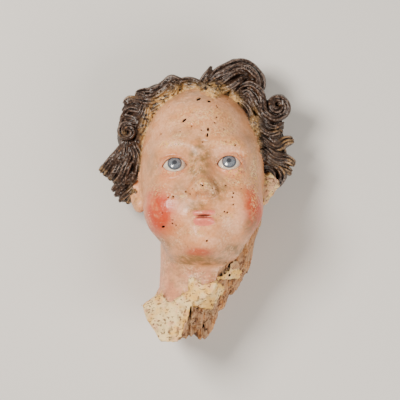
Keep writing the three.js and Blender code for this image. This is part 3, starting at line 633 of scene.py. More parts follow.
def hair(points, local, strand_depth=STRAND_DEPTH):
    """Distance to all the hair, with its strands cut to the given depth."""
    total = hair_bed(local, strand_depth)
    for lock in LOCKS:
        path = lock["path"]
        margin = lock["half"].max() + 5
        deep = lock["half"].max() * 2 * LOCK_ROOT_DEPTH + 4
        near = (
            (points[:, 0] > path[:, 0].min() - margin)
            & (points[:, 0] < path[:, 0].max() + margin)
            & (points[:, 1] > path[:, 1].min() - margin)
            & (points[:, 1] < path[:, 1].max() + margin)
            & (points[:, 2] > lock["level"].min() - deep)
            & (points[:, 2] < lock["level"].max() + margin)
        )
        if near.any():
            total[near] = soft_join(total[near], lock_distance(lock, points[near], strand_depth), 0.8)
    return total


def flesh(points, local):
    total = skin(local)
    low = points[:, 1] < 25
    joined = np.maximum(soft_join(total[low], neck(points[low]), 7), torn_wood(points[low]))
    total[low] = np.minimum(total[low], joined)
    total = lids(points, total)
    total = ear(local, LEFT_EAR, LEFT_EAR_HALF, LEFT_EAR_TURN, total)
    return soft_join(total, ear_stump(local), 2)


def carving(points):
    """Distance to the whole carving."""
    points = points - FRAME_SHIFT
    local = in_head(points)
    skin_distance = flesh(points, local)
    total = soft_join(skin_distance, hair(points, local), 1.0)
    foot = points[:, 1] < -40
    total[foot] = np.minimum(total[foot], gesso(points[foot]))
    return np.maximum(total, -points[:, 2])


def in_chunks(field, points, size=60000):
    return np.concatenate([field(points[start:start + size]) for start in range(0, len(points), size)])


def sample_near_surface(field, low, high, step):
    """Field on a grid, worked out finely only in the blocks that the surface can cross."""
    block = 4
    counts = [int(math.ceil((high[axis] - low[axis]) / step / block)) for axis in range(3)]
    index = np.stack(np.meshgrid(*[np.arange(count) for count in counts], indexing="ij"), -1).reshape(-1, 3)
    middles = low + (index + 0.5) * block * step - step / 2
    rough = in_chunks(field, middles)
    grid = np.empty([count * block for count in counts], np.float32)
    blocks = grid.reshape(counts[0], block, counts[1], block, counts[2], block).transpose(0, 2, 4, 1, 3, 5)
    blocks[...] = np.sign(rough).reshape(*counts, 1, 1, 1) * 9.0
    near = index[np.abs(rough) < block * step * 0.87 + 2.5]
    cell = np.stack(np.meshgrid(*[np.arange(block)] * 3, indexing="ij"), -1).reshape(-1, 3)
    fine = low + (near[:, None, :] * block + cell[None]).reshape(-1, 3) * step
    values = in_chunks(field, fine).reshape(-1, block, block, block)
    blocks[near[:, 0], near[:, 1], near[:, 2]] = values
    return grid


PINCH_SWEEPS = 6


def close_pinches(grid, fill):
    """Fills the corners where the surface would touch itself, so that few edges have over two faces."""
    for _ in range(PINCH_SWEEPS):
        filled = 0
        for axis in range(3):
            one, two = (axis + 1) % 3, (axis + 2) % 3
            parts = []
            for step_one, step_two in ((0, 0), (1, 0), (1, 1), (0, 1)):
                window = [slice(None)] * 3
                window[one] = slice(step_one, grid.shape[one] - 1 + step_one)
                window[two] = slice(step_two, grid.shape[two] - 1 + step_two)
                parts.append(grid[tuple(window)])
            inside = [part < 0 for part in parts]
            crossed = (inside[0] == inside[2]) & (inside[1] == inside[3]) & (inside[0] != inside[1])
            where = np.argwhere(crossed)
            filled += len(where)
            for place in where:
                place = tuple(place)
                pair = (parts[0], parts[2]) if parts[0][place] >= 0 else (parts[1], parts[3])
                lower = min(pair, key=lambda part: part[place])
                lower[place] = -fill
        for flip in ((1, 1, 1), (1, 1, -1), (1, -1, 1), (-1, 1, 1)):
            turned = grid[::flip[0], ::flip[1], ::flip[2]]
            first, last = turned[:-1, :-1, :-1], turned[1:, 1:, 1:]
            others = [turned[i:turned.shape[0] - 1 + i, j:turned.shape[1] - 1 + j, k:turned.shape[2] - 1 + k]
                      for i, j, k in ((1, 0, 0), (0, 1, 0), (0, 0, 1), (1, 1, 0), (1, 0, 1), (0, 1, 1))]
            for wanted in (True, False):
                alone = ((first < 0) == wanted) & ((last < 0) == wanted)
                for other in others:
                    alone &= (other < 0) != wanted
                for place in np.argwhere(alone):
                    filled += 1
                    target = others[0] if wanted else first
                    target[tuple(place)] = -fill
                    if wanted:
                        others[3][tuple(place)] = -fill
        if not filled:
            return


def surface_net(grid, low, step):
    """Corners and four-sided faces of the surface where the grid changes sign."""
    inside = grid < 0
    shape = np.array(grid.shape) - 1
    same = np.zeros(shape, np.int8)
    corners = [(i, j, k) for i in (0, 1) for j in (0, 1) for k in (0, 1)]
    for i, j, k in corners:
        same += inside[i:i + shape[0], j:j + shape[1], k:k + shape[2]]
    cells = np.argwhere((same > 0) & (same < 8))
    number = np.full(shape, -1, np.int64)
    number[tuple(cells.T)] = np.arange(len(cells))
    total = np.zeros((len(cells), 3))
    count = np.zeros(len(cells))
    for start in corners:
        for axis in range(3):
            if start[axis]:
                continue
            end = list(start)
            end[axis] = 1
            first = grid[tuple((cells + start).T)]
            second = grid[tuple((cells + end).T)]
            crossed = (first < 0) != (second < 0)
            part = first[crossed] / (first[crossed] - second[crossed])
            place = np.tile(np.array(start, float), (crossed.sum(), 1))
            place[:, axis] = part
            total[crossed] += place
            count[crossed] += 1
    points = low + (cells + total / count[:, None]) * step
    faces = []
    for axis in range(3):
        one, two = (axis + 1) % 3, (axis + 2) % 3
        first = [slice(1, -1)] * 3
        first[axis] = slice(0, -1)
        second = list(first)
        second[axis] = slice(1, None)
        change = inside[tuple(first)] != inside[tuple(second)]
        edge = np.argwhere(change) + np.array([0 if item == axis else 1 for item in range(3)])
        corner = []
        for back_one, back_two in ((1, 1), (0, 1), (0, 0), (1, 0)):
            cell = edge.copy()
            cell[:, one] -= back_one
            cell[:, two] -= back_two
            corner.append(number[tuple(cell.T)])
        quad = np.stack(corner, -1)
        outward = inside[tuple(edge.T)]
        quad[~outward] = quad[~outward][:, ::-1]
        faces.append(quad)
    return points, np.concatenate(faces)


def slope_of(field, points, gap):
    steps = np.eye(3) * gap
    rises = [in_chunks(field, points + step) - in_chunks(field, points - step) for step in steps]
    return np.stack(rises, -1) / (2 * gap)


def settle(field, points, gap):
    """Moves corners onto the surface of the field, at most half a grid step."""
    value = in_chunks(field, points)
    slope = slope_of(field, points, gap)
    steep = np.maximum((slope ** 2).sum(-1), 0.25)
    move = -slope * (value / steep)[:, None]
    length = np.sqrt((move ** 2).sum(-1))
    return points + move * np.minimum(1, 0.5 / np.maximum(length, 1e-9))[:, None]


def mesh_object(name, points, faces):
    mesh = bpy.data.meshes.new(name)
    mesh.vertices.add(len(points))
    mesh.vertices.foreach_set("co", (points * MM).astype(np.float32).ravel())
    mesh.loops.add(faces.size)
    mesh.loops.foreach_set("vertex_index", faces.astype(np.int32).ravel())
    mesh.polygons.add(len(faces))
    mesh.polygons.foreach_set("loop_start", np.arange(0, faces.size, 4, dtype=np.int32))
    mesh.update(calc_edges=True)
    mesh.validate()
    piece = bpy.data.objects.new(name, mesh)
    bpy.context.scene.collection.objects.link(piece)
    return piece


def select_only(piece):
    bpy.ops.object.select_all(action="DESELECT")
    piece.select_set(True)
    bpy.context.view_layer.objects.active = piece


# Zones of the finish, worked out at each corner of the mesh
def near_form(local, name):
    """Distance to one named form of the head and its mirror image."""
    form = next(item for item in HEAD_FORMS if item[0] == name)
    place = np.stack([np.abs(local[:, 0]), local[:, 1], local[:, 2]], -1) if form[1][0] else local
    return ellipsoid(place, form[1], form[2])


def blot(x, y, places):
    """Soft round spots: middle across and up, half width, half height and strength."""
    total = np.zeros(len(x))
    for middle_x, middle_y, half_x, half_y, strength in places:
        away = ((x - middle_x) / half_x) ** 2 + ((y - middle_y) / half_y) ** 2
        total = np.maximum(total, strength * np.exp(-1.6 * np.maximum(0, away - 0.3)))
    return total


def hollows(points, normals, reach=2.4):
    """How deep each corner lies in a hollow, and how far it stands up on a ridge, from 0 to 1."""
    outside = in_chunks(carving, points + normals * reach)
    inside = in_chunks(carving, points - normals * reach * 0.7)
    return np.clip(1 - outside / reach, 0, 1), np.clip(1 + inside / (reach * 0.7), 0, 1)


def zones(points, normals):
    """Share of each finish at each corner."""
    # deep and ridge are the masks of the painted shade in the hollows and the painted highlight on the ridges
    deep, ridge = hollows(points, normals)
    points = points - FRAME_SHIFT
    local = in_head(points)
    x, y, z = points.T
    skin_distance = flesh(points, local)
    hair_distance = hair(points, local)
    torn = torn_wood(points)
    crust = gesso(points)
    head_distance = skin(local)
    lead = skin_distance - hair_distance
    # groove is the mask of the painted shade down the cuts between the strands of hair
    groove = (hair_distance - hair(points, local, 0)) / STRAND_DEPTH
    in_front = smooth_step(-20, 10, local[:, 2])
    lip = np.minimum.reduce([near_form(local, name) for name in ("upper lip", "lip point", "lower lip")])
    lid = np.zeros(len(points))
    for middle in LID_MIDDLES:
        offset = (points - middle) @ HEAD_TURN
        away = np.sqrt((offset ** 2).sum(-1))
        edge = smooth_step(EYE_RADIUS + 6, EYE_RADIUS + 2, away) * smooth_step(2, 5, offset[:, 2])
        lid = np.maximum(lid, edge)
    torn_face = smooth_step(-0.7, -0.2, torn) * smooth_step(0.2, 0.8, head_distance)
    return {
        "hair": smooth_step(-0.3, 0.4, lead),
        "groove": smooth_step(0.1, 0.75, groove),
        "strand": smooth_step(0.25, 0.0, groove),
        "wood": np.maximum(torn_face, smooth_step(0.8, 0.3, z)),
        "gesso": (1 - smooth_step(0.25, 0.6, np.abs(crust))) * (y <= GESSO_TOP),
        "broken_ear": 1 - smooth_step(0.2, 1.2, ear_stump(local)),
        "deep": deep,
        "ridge": ridge,
        "rouge": np.maximum(
            blot(local[:, 0], local[:, 1], ROUGE) * in_front * smooth_step(4, 1.5, head_distance),
            blot(x, y, CHIN_ROUGE) * smooth_step(-50.5, -47, y),
        ),
        "neck": smooth_step(1.0, 4.0, head_distance) * smooth_step(-40, -52, y),
        "lip": smooth_step(1.3, 0.1, lip) * in_front,
        "lid": lid,
        "hairline": (1 - smooth_step(0.5, 5.0, np.abs(lead))) * smooth_step(-25, 0, local[:, 2]),
        "root_wear": blot(x, y, ROOT_WEAR) * smooth_step(14.0, 4.0, skin_distance) * in_front,
        "tip_wear": blot(x, y, TIP_WEAR),
        "loss": blot(x, y, LOSSES) * in_front,
        "grime_and_shade": blot(x, y, GRIME_AND_SHADE) * in_front,
    }


# Worm holes
def surface_in_front(x, y):
    """Frontmost surface over each place, found by stepping down from above."""
    height = np.full(len(x), HEAD_HIGH[2] + 2.0)
    for _ in range(SURFACE_STEPS):
        points = np.stack([x, y, height], -1)
        distance = carving(points)
        height = height - np.clip(distance * 0.6, 0.02, 2.5) * (distance > 0.02)
    return np.stack([x, y, height], -1)


def worm_hole_places():
    """Place, radius and length of each worm hole: the largest listed, and the rest scattered."""
    places = [tuple(place) for place in NAMED_HOLES]
    random = np.random.default_rng(HOLE_SEED)
    for x, y, half_x, half_y, count in HOLE_FIELDS:
        for index in range(count):
            angle, reach = random.uniform(0, 2 * math.pi), math.sqrt(random.uniform(0, 1))
            radius = random.uniform(0.55, 0.95)
            across, up = x + half_x * reach * math.cos(angle), y + half_y * reach * math.sin(angle)
            places.append((across, up, radius, 0, 0))
    return places


def drill(piece):
    """Cuts the worm holes, each a slightly conical bore, out of the mesh."""
    places = worm_hole_places()
    across, up = (np.array([place[axis] for place in places]) + FRAME_SHIFT[axis] for axis in (0, 1))
    tops = surface_in_front(across, up)
    slope = slope_of(carving, tops, 0.6)
    slope = slope / np.linalg.norm(slope, axis=1, keepdims=True)
    bpy.ops.object.select_all(action="DESELECT")
    bores = []
    for (x, y, radius, length, turn), top, out in zip(places, tops, slope):
        out = out * 0.6 + np.array([0, 0, 0.4])
        bpy.ops.mesh.primitive_cone_add(
            vertices=10, radius1=radius * 0.7 * MM, radius2=radius * 1.1 * MM, depth=HOLE_DEPTH * 2 * MM,
            location=tuple(top * MM), rotation=Vector(out).to_track_quat("Z", "Y").to_euler(),
        )
        bore = bpy.context.active_object
        if length:
            bore.scale = (1 + length / radius, 1, 1)
            bore.rotation_euler = (0, 0, math.radians(turn))
        bores.append(bore)
    for bore in bores:
        bore.select_set(True)
    bpy.ops.object.join()
    cutter = bpy.context.active_object
    select_only(piece)
    modifier = piece.modifiers.new("Worm holes", "BOOLEAN")
    modifier.operation = "DIFFERENCE"
    modifier.solver = "MANIFOLD"
    modifier.object = cutter
    bpy.ops.object.modifier_apply(modifier=modifier.name)
    bpy.data.objects.remove(cutter)


def set_zones(piece):
    """Stores the share of each finish, and the inside of the worm holes, as attributes of the corners."""
    mesh = piece.data
    count = len(mesh.vertices)
    points = np.empty(count * 3, np.float32)
    normals = np.empty(count * 3, np.float32)
    mesh.vertices.foreach_get("co", points)
    mesh.vertices.foreach_get("normal", normals)
    points = points.reshape(-1, 3).astype(float) / MM
    normals = normals.reshape(-1, 3).astype(float)
    shares = zones(points, normals)
    # bore masks the painted shade inside the worm holes
    shares["bore"] = smooth_step(-0.3, -0.9, in_chunks(carving, points))
    for name, values in shares.items():
        mesh.attributes.new(name, "FLOAT", "POINT").data.foreach_set("value", np.asarray(values, np.float32))


# Finishes
def linear(colour):
    """An sRGB hex colour as linear red, green, blue and full alpha."""
    parts = [int(colour[start:start + 2], 16) / 255 for start in (1, 3, 5)]
    turned = [part / 12.92 if part <= 0.04045 else ((part + 0.055) / 1.055) ** 2.4 for part in parts]
    return (*turned, 1.0)


def add_node(tree, kind, settings=None, links=None):
    """Adds a node, sets its settings, and fills its sockets with values or links."""
    node = tree.nodes.new(kind)
    for name, value in (settings or {}).items():
        setattr(node, name, value)
    for name, value in (links or {}).items():
        if isinstance(value, bpy.types.NodeSocket):
            tree.links.new(value, node.inputs[name])
        else:
            node.inputs[name].default_value = value
    return node.outputs


def patchy(tree, size, low, high, detail=3.0, stretch=(1, 1, 1), seed=0.0):
    """Patches from 0 to 1 of a size in millimetres, with a hard or soft edge between low and high."""
    place = add_node(tree, "ShaderNodeTexCoord")["Object"]
    scale = tuple(1 / (size * MM * part) for part in stretch)
    placing = {"Vector": place, "Scale": scale, "Location": (seed,) * 3}
    place = add_node(tree, "ShaderNodeMapping", None, placing)[0]
    value = add_node(tree, "ShaderNodeTexNoise", None, {"Vector": place, "Scale": 1.0, "Detail": detail})[0]
    return add_node(
        tree, "ShaderNodeMapRange", {"interpolation_type": "SMOOTHSTEP"},
        {"Value": value, "From Min": low, "From Max": high},
    )[0]


def share_of(tree, parts):
    """Product of zones by their names, patterns and numbers, kept from 0 to 1."""
    share = 1.0
    for part in parts:
        if isinstance(part, str):
            part = add_node(tree, "ShaderNodeAttribute", {"attribute_name": part})["Fac"]
        product = {"operation": "MULTIPLY", "use_clamp": True}
        share = add_node(tree, "ShaderNodeMath", product, {0: part, 1: share})[0]
    return share


def layered(tree, colour, layers):
    """A colour with others, hex or linear, laid over it, each as far as the product of its shares."""
    for over, *parts in layers:
        if isinstance(over, str):
            over = linear(over)
        share = share_of(tree, parts)
        colour = add_node(tree, "ShaderNodeMix", {"data_type": "RGBA"}, {0: share, 6: colour, 7: over})[2]
    return colour


def broken_edge(tree, name, size=2.0, amount=0.5, seed=0.0):
    """A zone whose edge is broken up by patches, as a worn layer of paint is."""
    share = add_node(tree, "ShaderNodeAttribute", {"attribute_name": name})["Fac"]
    pattern = patchy(tree, size, 0.3, 0.7, 4.0, seed=seed)
    values = {0: pattern, 1: 2 * amount, 2: share}
    moved = add_node(tree, "ShaderNodeMath", {"operation": "MULTIPLY_ADD"}, values)[0]
    return add_node(
        tree, "ShaderNodeMapRange", {"interpolation_type": "SMOOTHSTEP"},
        {"Value": moved, "From Min": amount + 0.42, "From Max": amount + 0.58},
    )[0]


def lay_over(tree, under, over, share):
    """One finish laid over another: its colour, roughness and height."""
    mixed = {"colour": layered(tree, under["colour"], [(over["colour"], share)])}
    for name in ("roughness", "height"):
        mixed[name] = add_node(tree, "ShaderNodeMix", None, {0: share, 2: under[name], 3: over[name]})[0]
    return mixed


def limewood(tree, settings):
    """Torn limewood: long pale fibres gone tan with age, with brown dirt down between them, near-black
    painted shade in the hollows and a painted highlight on the ridges.
    """
    fibre = patchy(tree, 1.1, 0.3, 0.7, 4.0, (1, 14, 1))
    streak = patchy(tree, 5, 0.35, 0.65, 2.0, (1, 6, 1), 3.0)
    colour = layered(tree, tuple(settings.wood), [
        ("#E0A66A", fibre),
        ("#B29A80", streak, 0.6),
        ("#5A2A12", patchy(tree, 2.4, 0.52, 0.64, 3.0, (1, 7, 1), 5.0), 0.85),
        ("#BE9470", patchy(tree, 6, 0.50, 0.66, 3.0, (1, 4, 1), 6.0), 0.7),
        ("#9A6232", "grime_and_shade", 0.75),
        # painted shade: near black in the hollows of the torn wood
        ("#1A0C05", "deep", 1.0),
        # painted highlight on the ridges of the fibres
        ("#F4D0A0", "ridge", 0.5),
    ])
    return {"colour": colour, "roughness": 0.82, "height": share_of(tree, [fibre, 0.35])}


def bare_gesso(tree, settings):
    """Chalk and glue gesso with its paint lost: matt cream, yellow where glue came out, with brown specks and
    painted shade in its hollows.
    """
    colour = layered(tree, tuple(settings.gesso), [
        ("#F2B238", patchy(tree, 15, 0.40, 0.60, 3.0, seed=5.0), 0.7),
        ("#F2AE88", patchy(tree, 8, 0.54, 0.66, 3.0, seed=11.0), 0.5),
        ("#74503C", patchy(tree, 3.2, 0.585, 0.625, 3.0, (1, 0.7, 1), 9.0), 0.85),
        # painted shade in the hollows of the gesso
        ("#4A2C1C", "deep", 0.9),
    ])
    height = share_of(tree, [patchy(tree, 1.3, 0.2, 0.8, 5.0), 0.4])
    return {"colour": colour, "roughness": 0.9, "height": height}


def dirty_gesso(tree, settings):
    """Gesso of the broken ear: worn, with pink paint left in patches, brown dirt in patches, and painted
    shade in its breaks.
    """
    finish = bare_gesso(tree, settings)
    finish["colour"] = layered(tree, finish["colour"], [
        ("#DCA888", patchy(tree, 6, 0.46, 0.58, 4.0, seed=51.0), 0.8),
        ("#7C5A40", patchy(tree, 3.0, 0.56, 0.62, 4.0, seed=52.0), 0.8),
        # painted shade in the breaks of the ear
        ("#4A2A18", "deep", 0.8),
    ])
    return finish


def flesh_paint(tree, settings):
    """Polished oil flesh paint over gesso: warm skin with rouge laid in wet, mottled with grey dirt, with
    painted shade under the jaw and dark brown painted shade down in the hollows.
    """
    mottle = patchy(tree, 11, 0.35, 0.65, 4.0, seed=2.0)
    fine = patchy(tree, 2.6, 0.35, 0.65, 5.0, seed=4.0)
    colour = layered(tree, tuple(settings.flesh), [
        ("#F2B48A", mottle, 0.8),
        ("#C9824E", fine, 0.45),
        ("#EDAA80", "neck", 0.8),
        ("#A87A5A", "neck", patchy(tree, 4, 0.40, 0.62, 5.0, (2, 0.7, 1), 62.0), 0.45),
        ("#D4705A", "neck", patchy(tree, 14, 0.42, 0.62, 4.0, seed=61.0), 0.35),
        (tuple(settings.rouge), "rouge", patchy(tree, 7, 0.1, 0.5, 4.0, seed=7.0), 0.95),
        ("#D8603F", "lid", 0.35),
        ("#EA7468", broken_edge(tree, "lip", 1.6, 0.25, 8.0), 0.85),
        # grey-brown dirt mottling, and painted shade in the bands under the chin
        ("#7C6238", "grime_and_shade", patchy(tree, 5, 0.2, 0.65, 5.0, seed=6.0), 0.85),
        ("#86683C", patchy(tree, 22, 0.46, 0.74, 5.0, seed=16.0),
         patchy(tree, 2.2, 0.38, 0.66, 4.0, seed=17.0), 0.5),
        ("#F8CFA4", patchy(tree, 16, 0.45, 0.7, 4.0, seed=18.0),
         patchy(tree, 1.7, 0.5, 0.62, 4.0, seed=19.0), 0.6),
        # painted shade: dark brown down in the hollows of the face
        ("#5A2E18", "deep", "deep", 1.0),
        ("#6B4A2C", "loss", patchy(tree, 1.5, 0.56, 0.64, 4.0, seed=15.0), 0.8),
        ("#5C3820", patchy(tree, 1.2, 0.65, 0.72, 3.0, seed=12.0), 0.6),
    ])
    rough = add_node(tree, "ShaderNodeMapRange", None, {"Value": mottle, "To Min": 0.28, "To Max": 0.42})[0]
    height = share_of(tree, [patchy(tree, 3.4, 0.2, 0.8, 5.0, seed=14.0), 0.16])
    return {"colour": colour, "roughness": rough, "height": height}


def hair_paint(tree, settings):
    """Brown distemper over carved hair: grey and shiny on the ridges, partly rubbed wear and partly painted
    highlight, with near-black painted shade down in the cuts and hollows.
    """
    rubbed_and_highlit = broken_edge(tree, "ridge", 2.2, 0.35, 21.0)
    colour = layered(tree, tuple(settings.hair), [
        ("#58402F", patchy(tree, 2.0, 0.35, 0.65, 4.0, seed=22.0), 0.7),
        # grey on the strand ridges: rubbed wear and painted highlight
        ("#A08A7E", rubbed_and_highlit, "strand", 0.6),
        # painted shade: near black down the cuts between the strands
        ("#0C0402", "groove", 0.75),
        # painted shade in the hollows of the hair
        ("#160A05", "deep", 1.0),
        ("#B9814A", patchy(tree, 3.5, 0.64, 0.70, 4.0, seed=24.0), "strand", 0.5),
        ("#CFA060", "root_wear", patchy(tree, 4.5, 0.38, 0.55, 5.0, seed=25.0), 0.9),
        ("#EBD2A4", "root_wear", patchy(tree, 2.2, 0.50, 0.60, 4.0, seed=27.0), "strand", 0.9),
        ("#C49A66", "tip_wear", patchy(tree, 3.0, 0.34, 0.52, 5.0, seed=28.0), "strand", 0.85),
    ])
    height = share_of(tree, [patchy(tree, 1.5, 0.2, 0.8, 4.0, seed=26.0), 0.15])
    return {"colour": colour, "roughness": 0.36, "height": height}


def new_material(name):
    material = bpy.data.materials.new(name)
    material.use_nodes = True
    return material, material.node_tree, material.node_tree.nodes["Principled BSDF"]


def polychrome(settings):
    """The whole finish of the carving, layer over layer as it was laid: wood, gesso, flesh and hair paint."""
    material, tree, shader = new_material("Limewood, gessoed and painted in oil")
    ground = bare_gesso(tree, settings)
    worn = {"colour": linear("#DDB274"), "roughness": 0.7, "height": 0.0}
    # inside the worm holes: painted shade, near black down the bores
    hole = {"colour": linear("#120703"), "roughness": 0.95, "height": 0.0}
    root_flecks = [patchy(tree, 3.2, 0.44, 0.58, 4.0, seed=33.0), "hairline", "root_wear", 0.95]
    flaked = [patchy(tree, 1.8, 0.50, 0.56, 4.0, seed=35.0), "loss"]
    flaked_roots = [patchy(tree, 2.4, 0.52, 0.58, 4.0, seed=36.0), "root_wear", "hairline", 0.8]
    finish = flesh_paint(tree, settings)
    for over, share in (
        (hair_paint(tree, settings), broken_edge(tree, "hair", 1.5, 0.25, 31.0)),
        (worn, share_of(tree, root_flecks)),
        (ground, share_of(tree, flaked)),
        (ground, share_of(tree, flaked_roots)),
        (limewood(tree, settings), broken_edge(tree, "wood", 2.0, 0.3, 37.0)),
        (ground, broken_edge(tree, "gesso", 2.0, 0.3, 39.0)),
        (dirty_gesso(tree, settings), broken_edge(tree, "broken_ear", 3.0, 0.45, 40.0)),
        (hole, share_of(tree, ["bore"])),
    ):
        finish = lay_over(tree, finish, over, share)
    tree.links.new(finish["colour"], shader.inputs["Base Color"])
    tree.links.new(finish["roughness"], shader.inputs["Roughness"])
    bump = add_node(
        tree, "ShaderNodeBump", None, {"Height": finish["height"], "Distance": 1.0 * MM, "Strength": 1.0},
    )[0]
    tree.links.new(bump, shader.inputs["Normal"])
    return material


def eye_glass(settings):
    """Blown glass eye, lamp-worked: opal white with a grey-blue iris under a clear wet-looking cornea."""
    material, tree, shader = new_material("Blown glass, opal with a painted iris")
    reach = add_node(tree, "ShaderNodeAttribute", {"attribute_name": "iris"})["Fac"]
    ring, pupil, edge = (
        add_node(
            tree, "ShaderNodeMapRange", {"interpolation_type": "SMOOTHSTEP"},
            {"Value": reach, "From Min": low, "From Max": high},
        )[0]
        for low, high in ((0.70, 0.98), (0.42, 0.26), (1.06, 0.97))
    )
    iris = layered(tree, tuple(settings.iris), [
        ("#8E949C", patchy(tree, 0.9, 0.35, 0.7, 3.0, seed=41.0), 0.8),
        ("#343A44", ring, 0.85),
        ("#2A2C32", pupil, 0.85),
    ])
    colour = layered(tree, linear("#E4DACA"), [
        ("#C8B8A2", patchy(tree, 6, 0.4, 0.7, 2.0, seed=42.0), 0.8),
        (iris, edge),
    ])
    tree.links.new(colour, shader.inputs["Base Color"])
    shader.inputs["Roughness"].default_value = 0.07
    shader.inputs["IOR"].default_value = 1.52
    shader.inputs["Coat Weight"].default_value = 1.0
    shader.inputs["Coat Roughness"].default_value = 0.02
    return material


def studio_paper():
    """Matt grey-white background paper."""
    material, tree, shader = new_material("Background paper, matt")
    colour = layered(tree, linear("#DEDCD8"), [("#E4E2DE", patchy(tree, 900, 0.3, 0.7, 2.0))])
    tree.links.new(colour, shader.inputs["Base Color"])
    shader.inputs["Roughness"].default_value = 0.9
    return material


# Pieces
def colour_setting(name, description, colour):
    return FloatVectorProperty(
        name=name, description=description, default=linear(colour), subtype="COLOR", size=4,
    )


class PuttoHeadSettings(PropertyGroup):
    grid_step: FloatProperty(
        name="Grid step", description="Spacing of the grid that the carving is cut on",
        default=0.00095, min=0.0005, unit="LENGTH",
    )
    most_faces: IntProperty(
        name="Most triangles", description="The carving's mesh is thinned to this many", default=185000,
    )
    flesh: colour_setting("Flesh paint", "Oil paint of the skin", "#E89C68")
    rouge: colour_setting("Rouge", "Paint of the cheeks and chin", "#C23C1A")
    hair: colour_setting("Hair paint", "Distemper of the hair", "#2C170E")
    gesso: colour_setting("Gesso", "Chalk ground laid bare", "#FFDFA2")
    wood: colour_setting("Limewood", "Torn wood", "#A45C28")


class PuttoEyeSettings(PropertyGroup):
    iris: colour_setting("Iris", "Glass of the iris", "#5E6670")


class PuttoStageSettings(PropertyGroup):
    key_power: FloatProperty(
        name="Key light", description="Power of the main soft light", default=22.0, unit="POWER",
    )
    fill_power: FloatProperty(
        name="Fill light", description="Power of the soft fill", default=11.5, unit="POWER",
    )


def carve(step):
    """The carving's mesh in millimetres, cut on a grid and settled onto the field."""
    low = HEAD_LOW - 6
    high = HEAD_HIGH + 6
    low[2] = -3 * step + step * 0.37
    grid = sample_near_surface(carving, low, high, step)
    close_pinches(grid, step * 0.1)
    points, faces = surface_net(grid, low, step)
    above = points[:, 2] > step
    points[above] = settle(carving, points[above], step * 0.4)
    return points, faces


def thin(piece, most_faces):
    """Thins the mesh to the given number of triangles."""
    now = 2 * len(piece.data.polygons)
    if now > most_faces:
        modifier = piece.modifiers.new("Thin", "DECIMATE")
        modifier.ratio = most_faces / now
        bpy.ops.object.modifier_apply(modifier=modifier.name)


class PUTTO_OT_head(Operator):
    """Carve the painted limewood head"""
    bl_idname = "putto.head"
    bl_label = "Carved head"

    def execute(self, context):
        settings = context.scene.putto_head
        points, faces = carve(settings.grid_step / MM)
        piece = mesh_object("putto_head", points, faces)
        select_only(piece)
        thin(piece, settings.most_faces)
        drill(piece)
        set_zones(piece)
        bpy.ops.object.shade_smooth()
        piece.data.materials.clear()
        piece.data.materials.append(polychrome(settings))
        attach(piece, "root")
        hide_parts(HEAD_NODE)
        return {"FINISHED"}


def swell_cornea(mesh):
    """Raises the cornea over the iris, and stores how far each corner is from the middle of the iris."""
    reach = []
    for corner in mesh.vertices:
        out = math.hypot(corner.co.x, corner.co.y) / MM / IRIS_RADIUS if corner.co.z > 0 else 9.0
        reach.append(out)
        corner.co *= 1 + CORNEA_RISE / EYE_RADIUS * max(0.0, 1 - out * out)
    mesh.attributes.new("iris", "FLOAT", "POINT").data.foreach_set("value", reach)


class PUTTO_OT_eyes(Operator):
    """Set the two glass eyes"""
    bl_idname = "putto.eyes"
    bl_label = "Glass eyes"

    def execute(self, context):
        material = eye_glass(context.scene.putto_eyes)
        for node, middle in zip(EYE_NODES, EYE_MIDDLES):
            bpy.ops.object.select_all(action="DESELECT")
            gaze = Vector(HEAD_TURN @ np.array(GAZE))
            bpy.ops.mesh.primitive_uv_sphere_add(
                segments=64, ring_count=48, radius=EYE_RADIUS * MM, location=middle * MM,
                rotation=gaze.to_track_quat("Z", "Y").to_euler(),
            )
            piece = context.active_object
            piece.name = node.replace("glass_eye", "eye")
            swell_cornea(piece.data)
            bpy.ops.object.transform_apply(location=True, rotation=True, scale=True)
            bpy.ops.object.shade_smooth()
            piece.data.materials.append(material)
            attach(piece, "root")
            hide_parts(node)
        return {"FINISHED"}


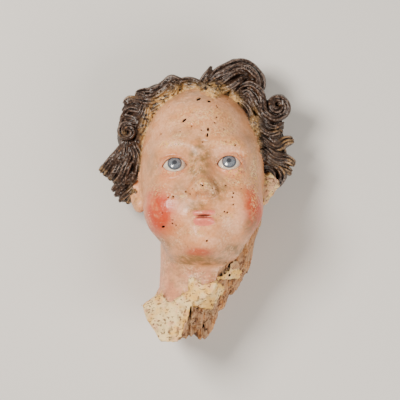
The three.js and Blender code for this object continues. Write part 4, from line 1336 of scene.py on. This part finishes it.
class PUTTO_OT_stage(Operator):
    """Set the floor, the lights and the camera"""
    bl_idname = "putto.stage"
    bl_label = "Floor, lights and camera"

    def execute(self, context):
        bpy.ops.object.select_all(action="DESELECT")
        bpy.ops.mesh.primitive_plane_add(size=6)
        floor = context.active_object
        floor.name = "floor"
        floor.data.materials.append(studio_paper())
        settings = context.scene.putto_stage
        aim = Vector((0, 0, 0.06))
        for name, place, size, power in (
            ("key", (-0.55, 0.3, 1.1), 0.4, settings.key_power),
            ("fill", (0.7, -0.55, 0.8), 0.8, settings.fill_power),
        ):
            bpy.ops.object.light_add(type="AREA", location=place)
            light = context.active_object
            light.name = name
            light.data.size = size
            light.data.energy = power
            light.data.color = LIGHT_COLOUR
            light.rotation_euler = (aim - light.location).to_track_quat("-Z", "Y").to_euler()
        bpy.ops.object.camera_add(location=(CAMERA_OVER[0], CAMERA_OVER[1], CAMERA_HEIGHT))
        camera = context.active_object
        camera.data.sensor_width = 36
        camera.data.lens = CAMERA_LENS
        camera.data.clip_end = 20
        context.scene.camera = camera
        world = bpy.data.worlds.new("studio")
        world.use_nodes = True
        world.node_tree.nodes["Background"].inputs["Color"].default_value = ROOM_COLOUR
        world.node_tree.nodes["Background"].inputs["Strength"].default_value = ROOM_STRENGTH
        context.scene.world = world
        return {"FINISHED"}


class PUTTO_PT_panel(Panel):
    """Builds the putto head piece by piece"""
    bl_idname = "PUTTO_PT_panel"
    bl_label = "Putto head"
    bl_space_type = "VIEW_3D"
    bl_region_type = "UI"
    bl_category = "Putto head"

    def draw(self, context):
        for settings in (context.scene.putto_head, context.scene.putto_eyes, context.scene.putto_stage):
            for name in settings.__annotations__:
                self.layout.prop(settings, name)
        for operator in OPERATORS:
            self.layout.operator(operator.bl_idname)


OPERATORS = (PUTTO_OT_head, PUTTO_OT_eyes, PUTTO_OT_stage)
CLASSES = (PuttoHeadSettings, PuttoEyeSettings, PuttoStageSettings, *OPERATORS, PUTTO_PT_panel)


def register():
    for item in CLASSES:
        bpy.utils.register_class(item)
    bpy.types.Scene.putto_head = PointerProperty(type=PuttoHeadSettings)
    bpy.types.Scene.putto_eyes = PointerProperty(type=PuttoEyeSettings)
    bpy.types.Scene.putto_stage = PointerProperty(type=PuttoStageSettings)


def unregister():
    del bpy.types.Scene.putto_stage
    del bpy.types.Scene.putto_eyes
    del bpy.types.Scene.putto_head
    for item in reversed(CLASSES):
        bpy.utils.unregister_class(item)


def main():
    register()
    bpy.ops.putto.stage()
    bpy.ops.putto.head()
    bpy.ops.putto.eyes()
    bpy.context.view_layer.update()


if __name__ == "__main__":
    main()
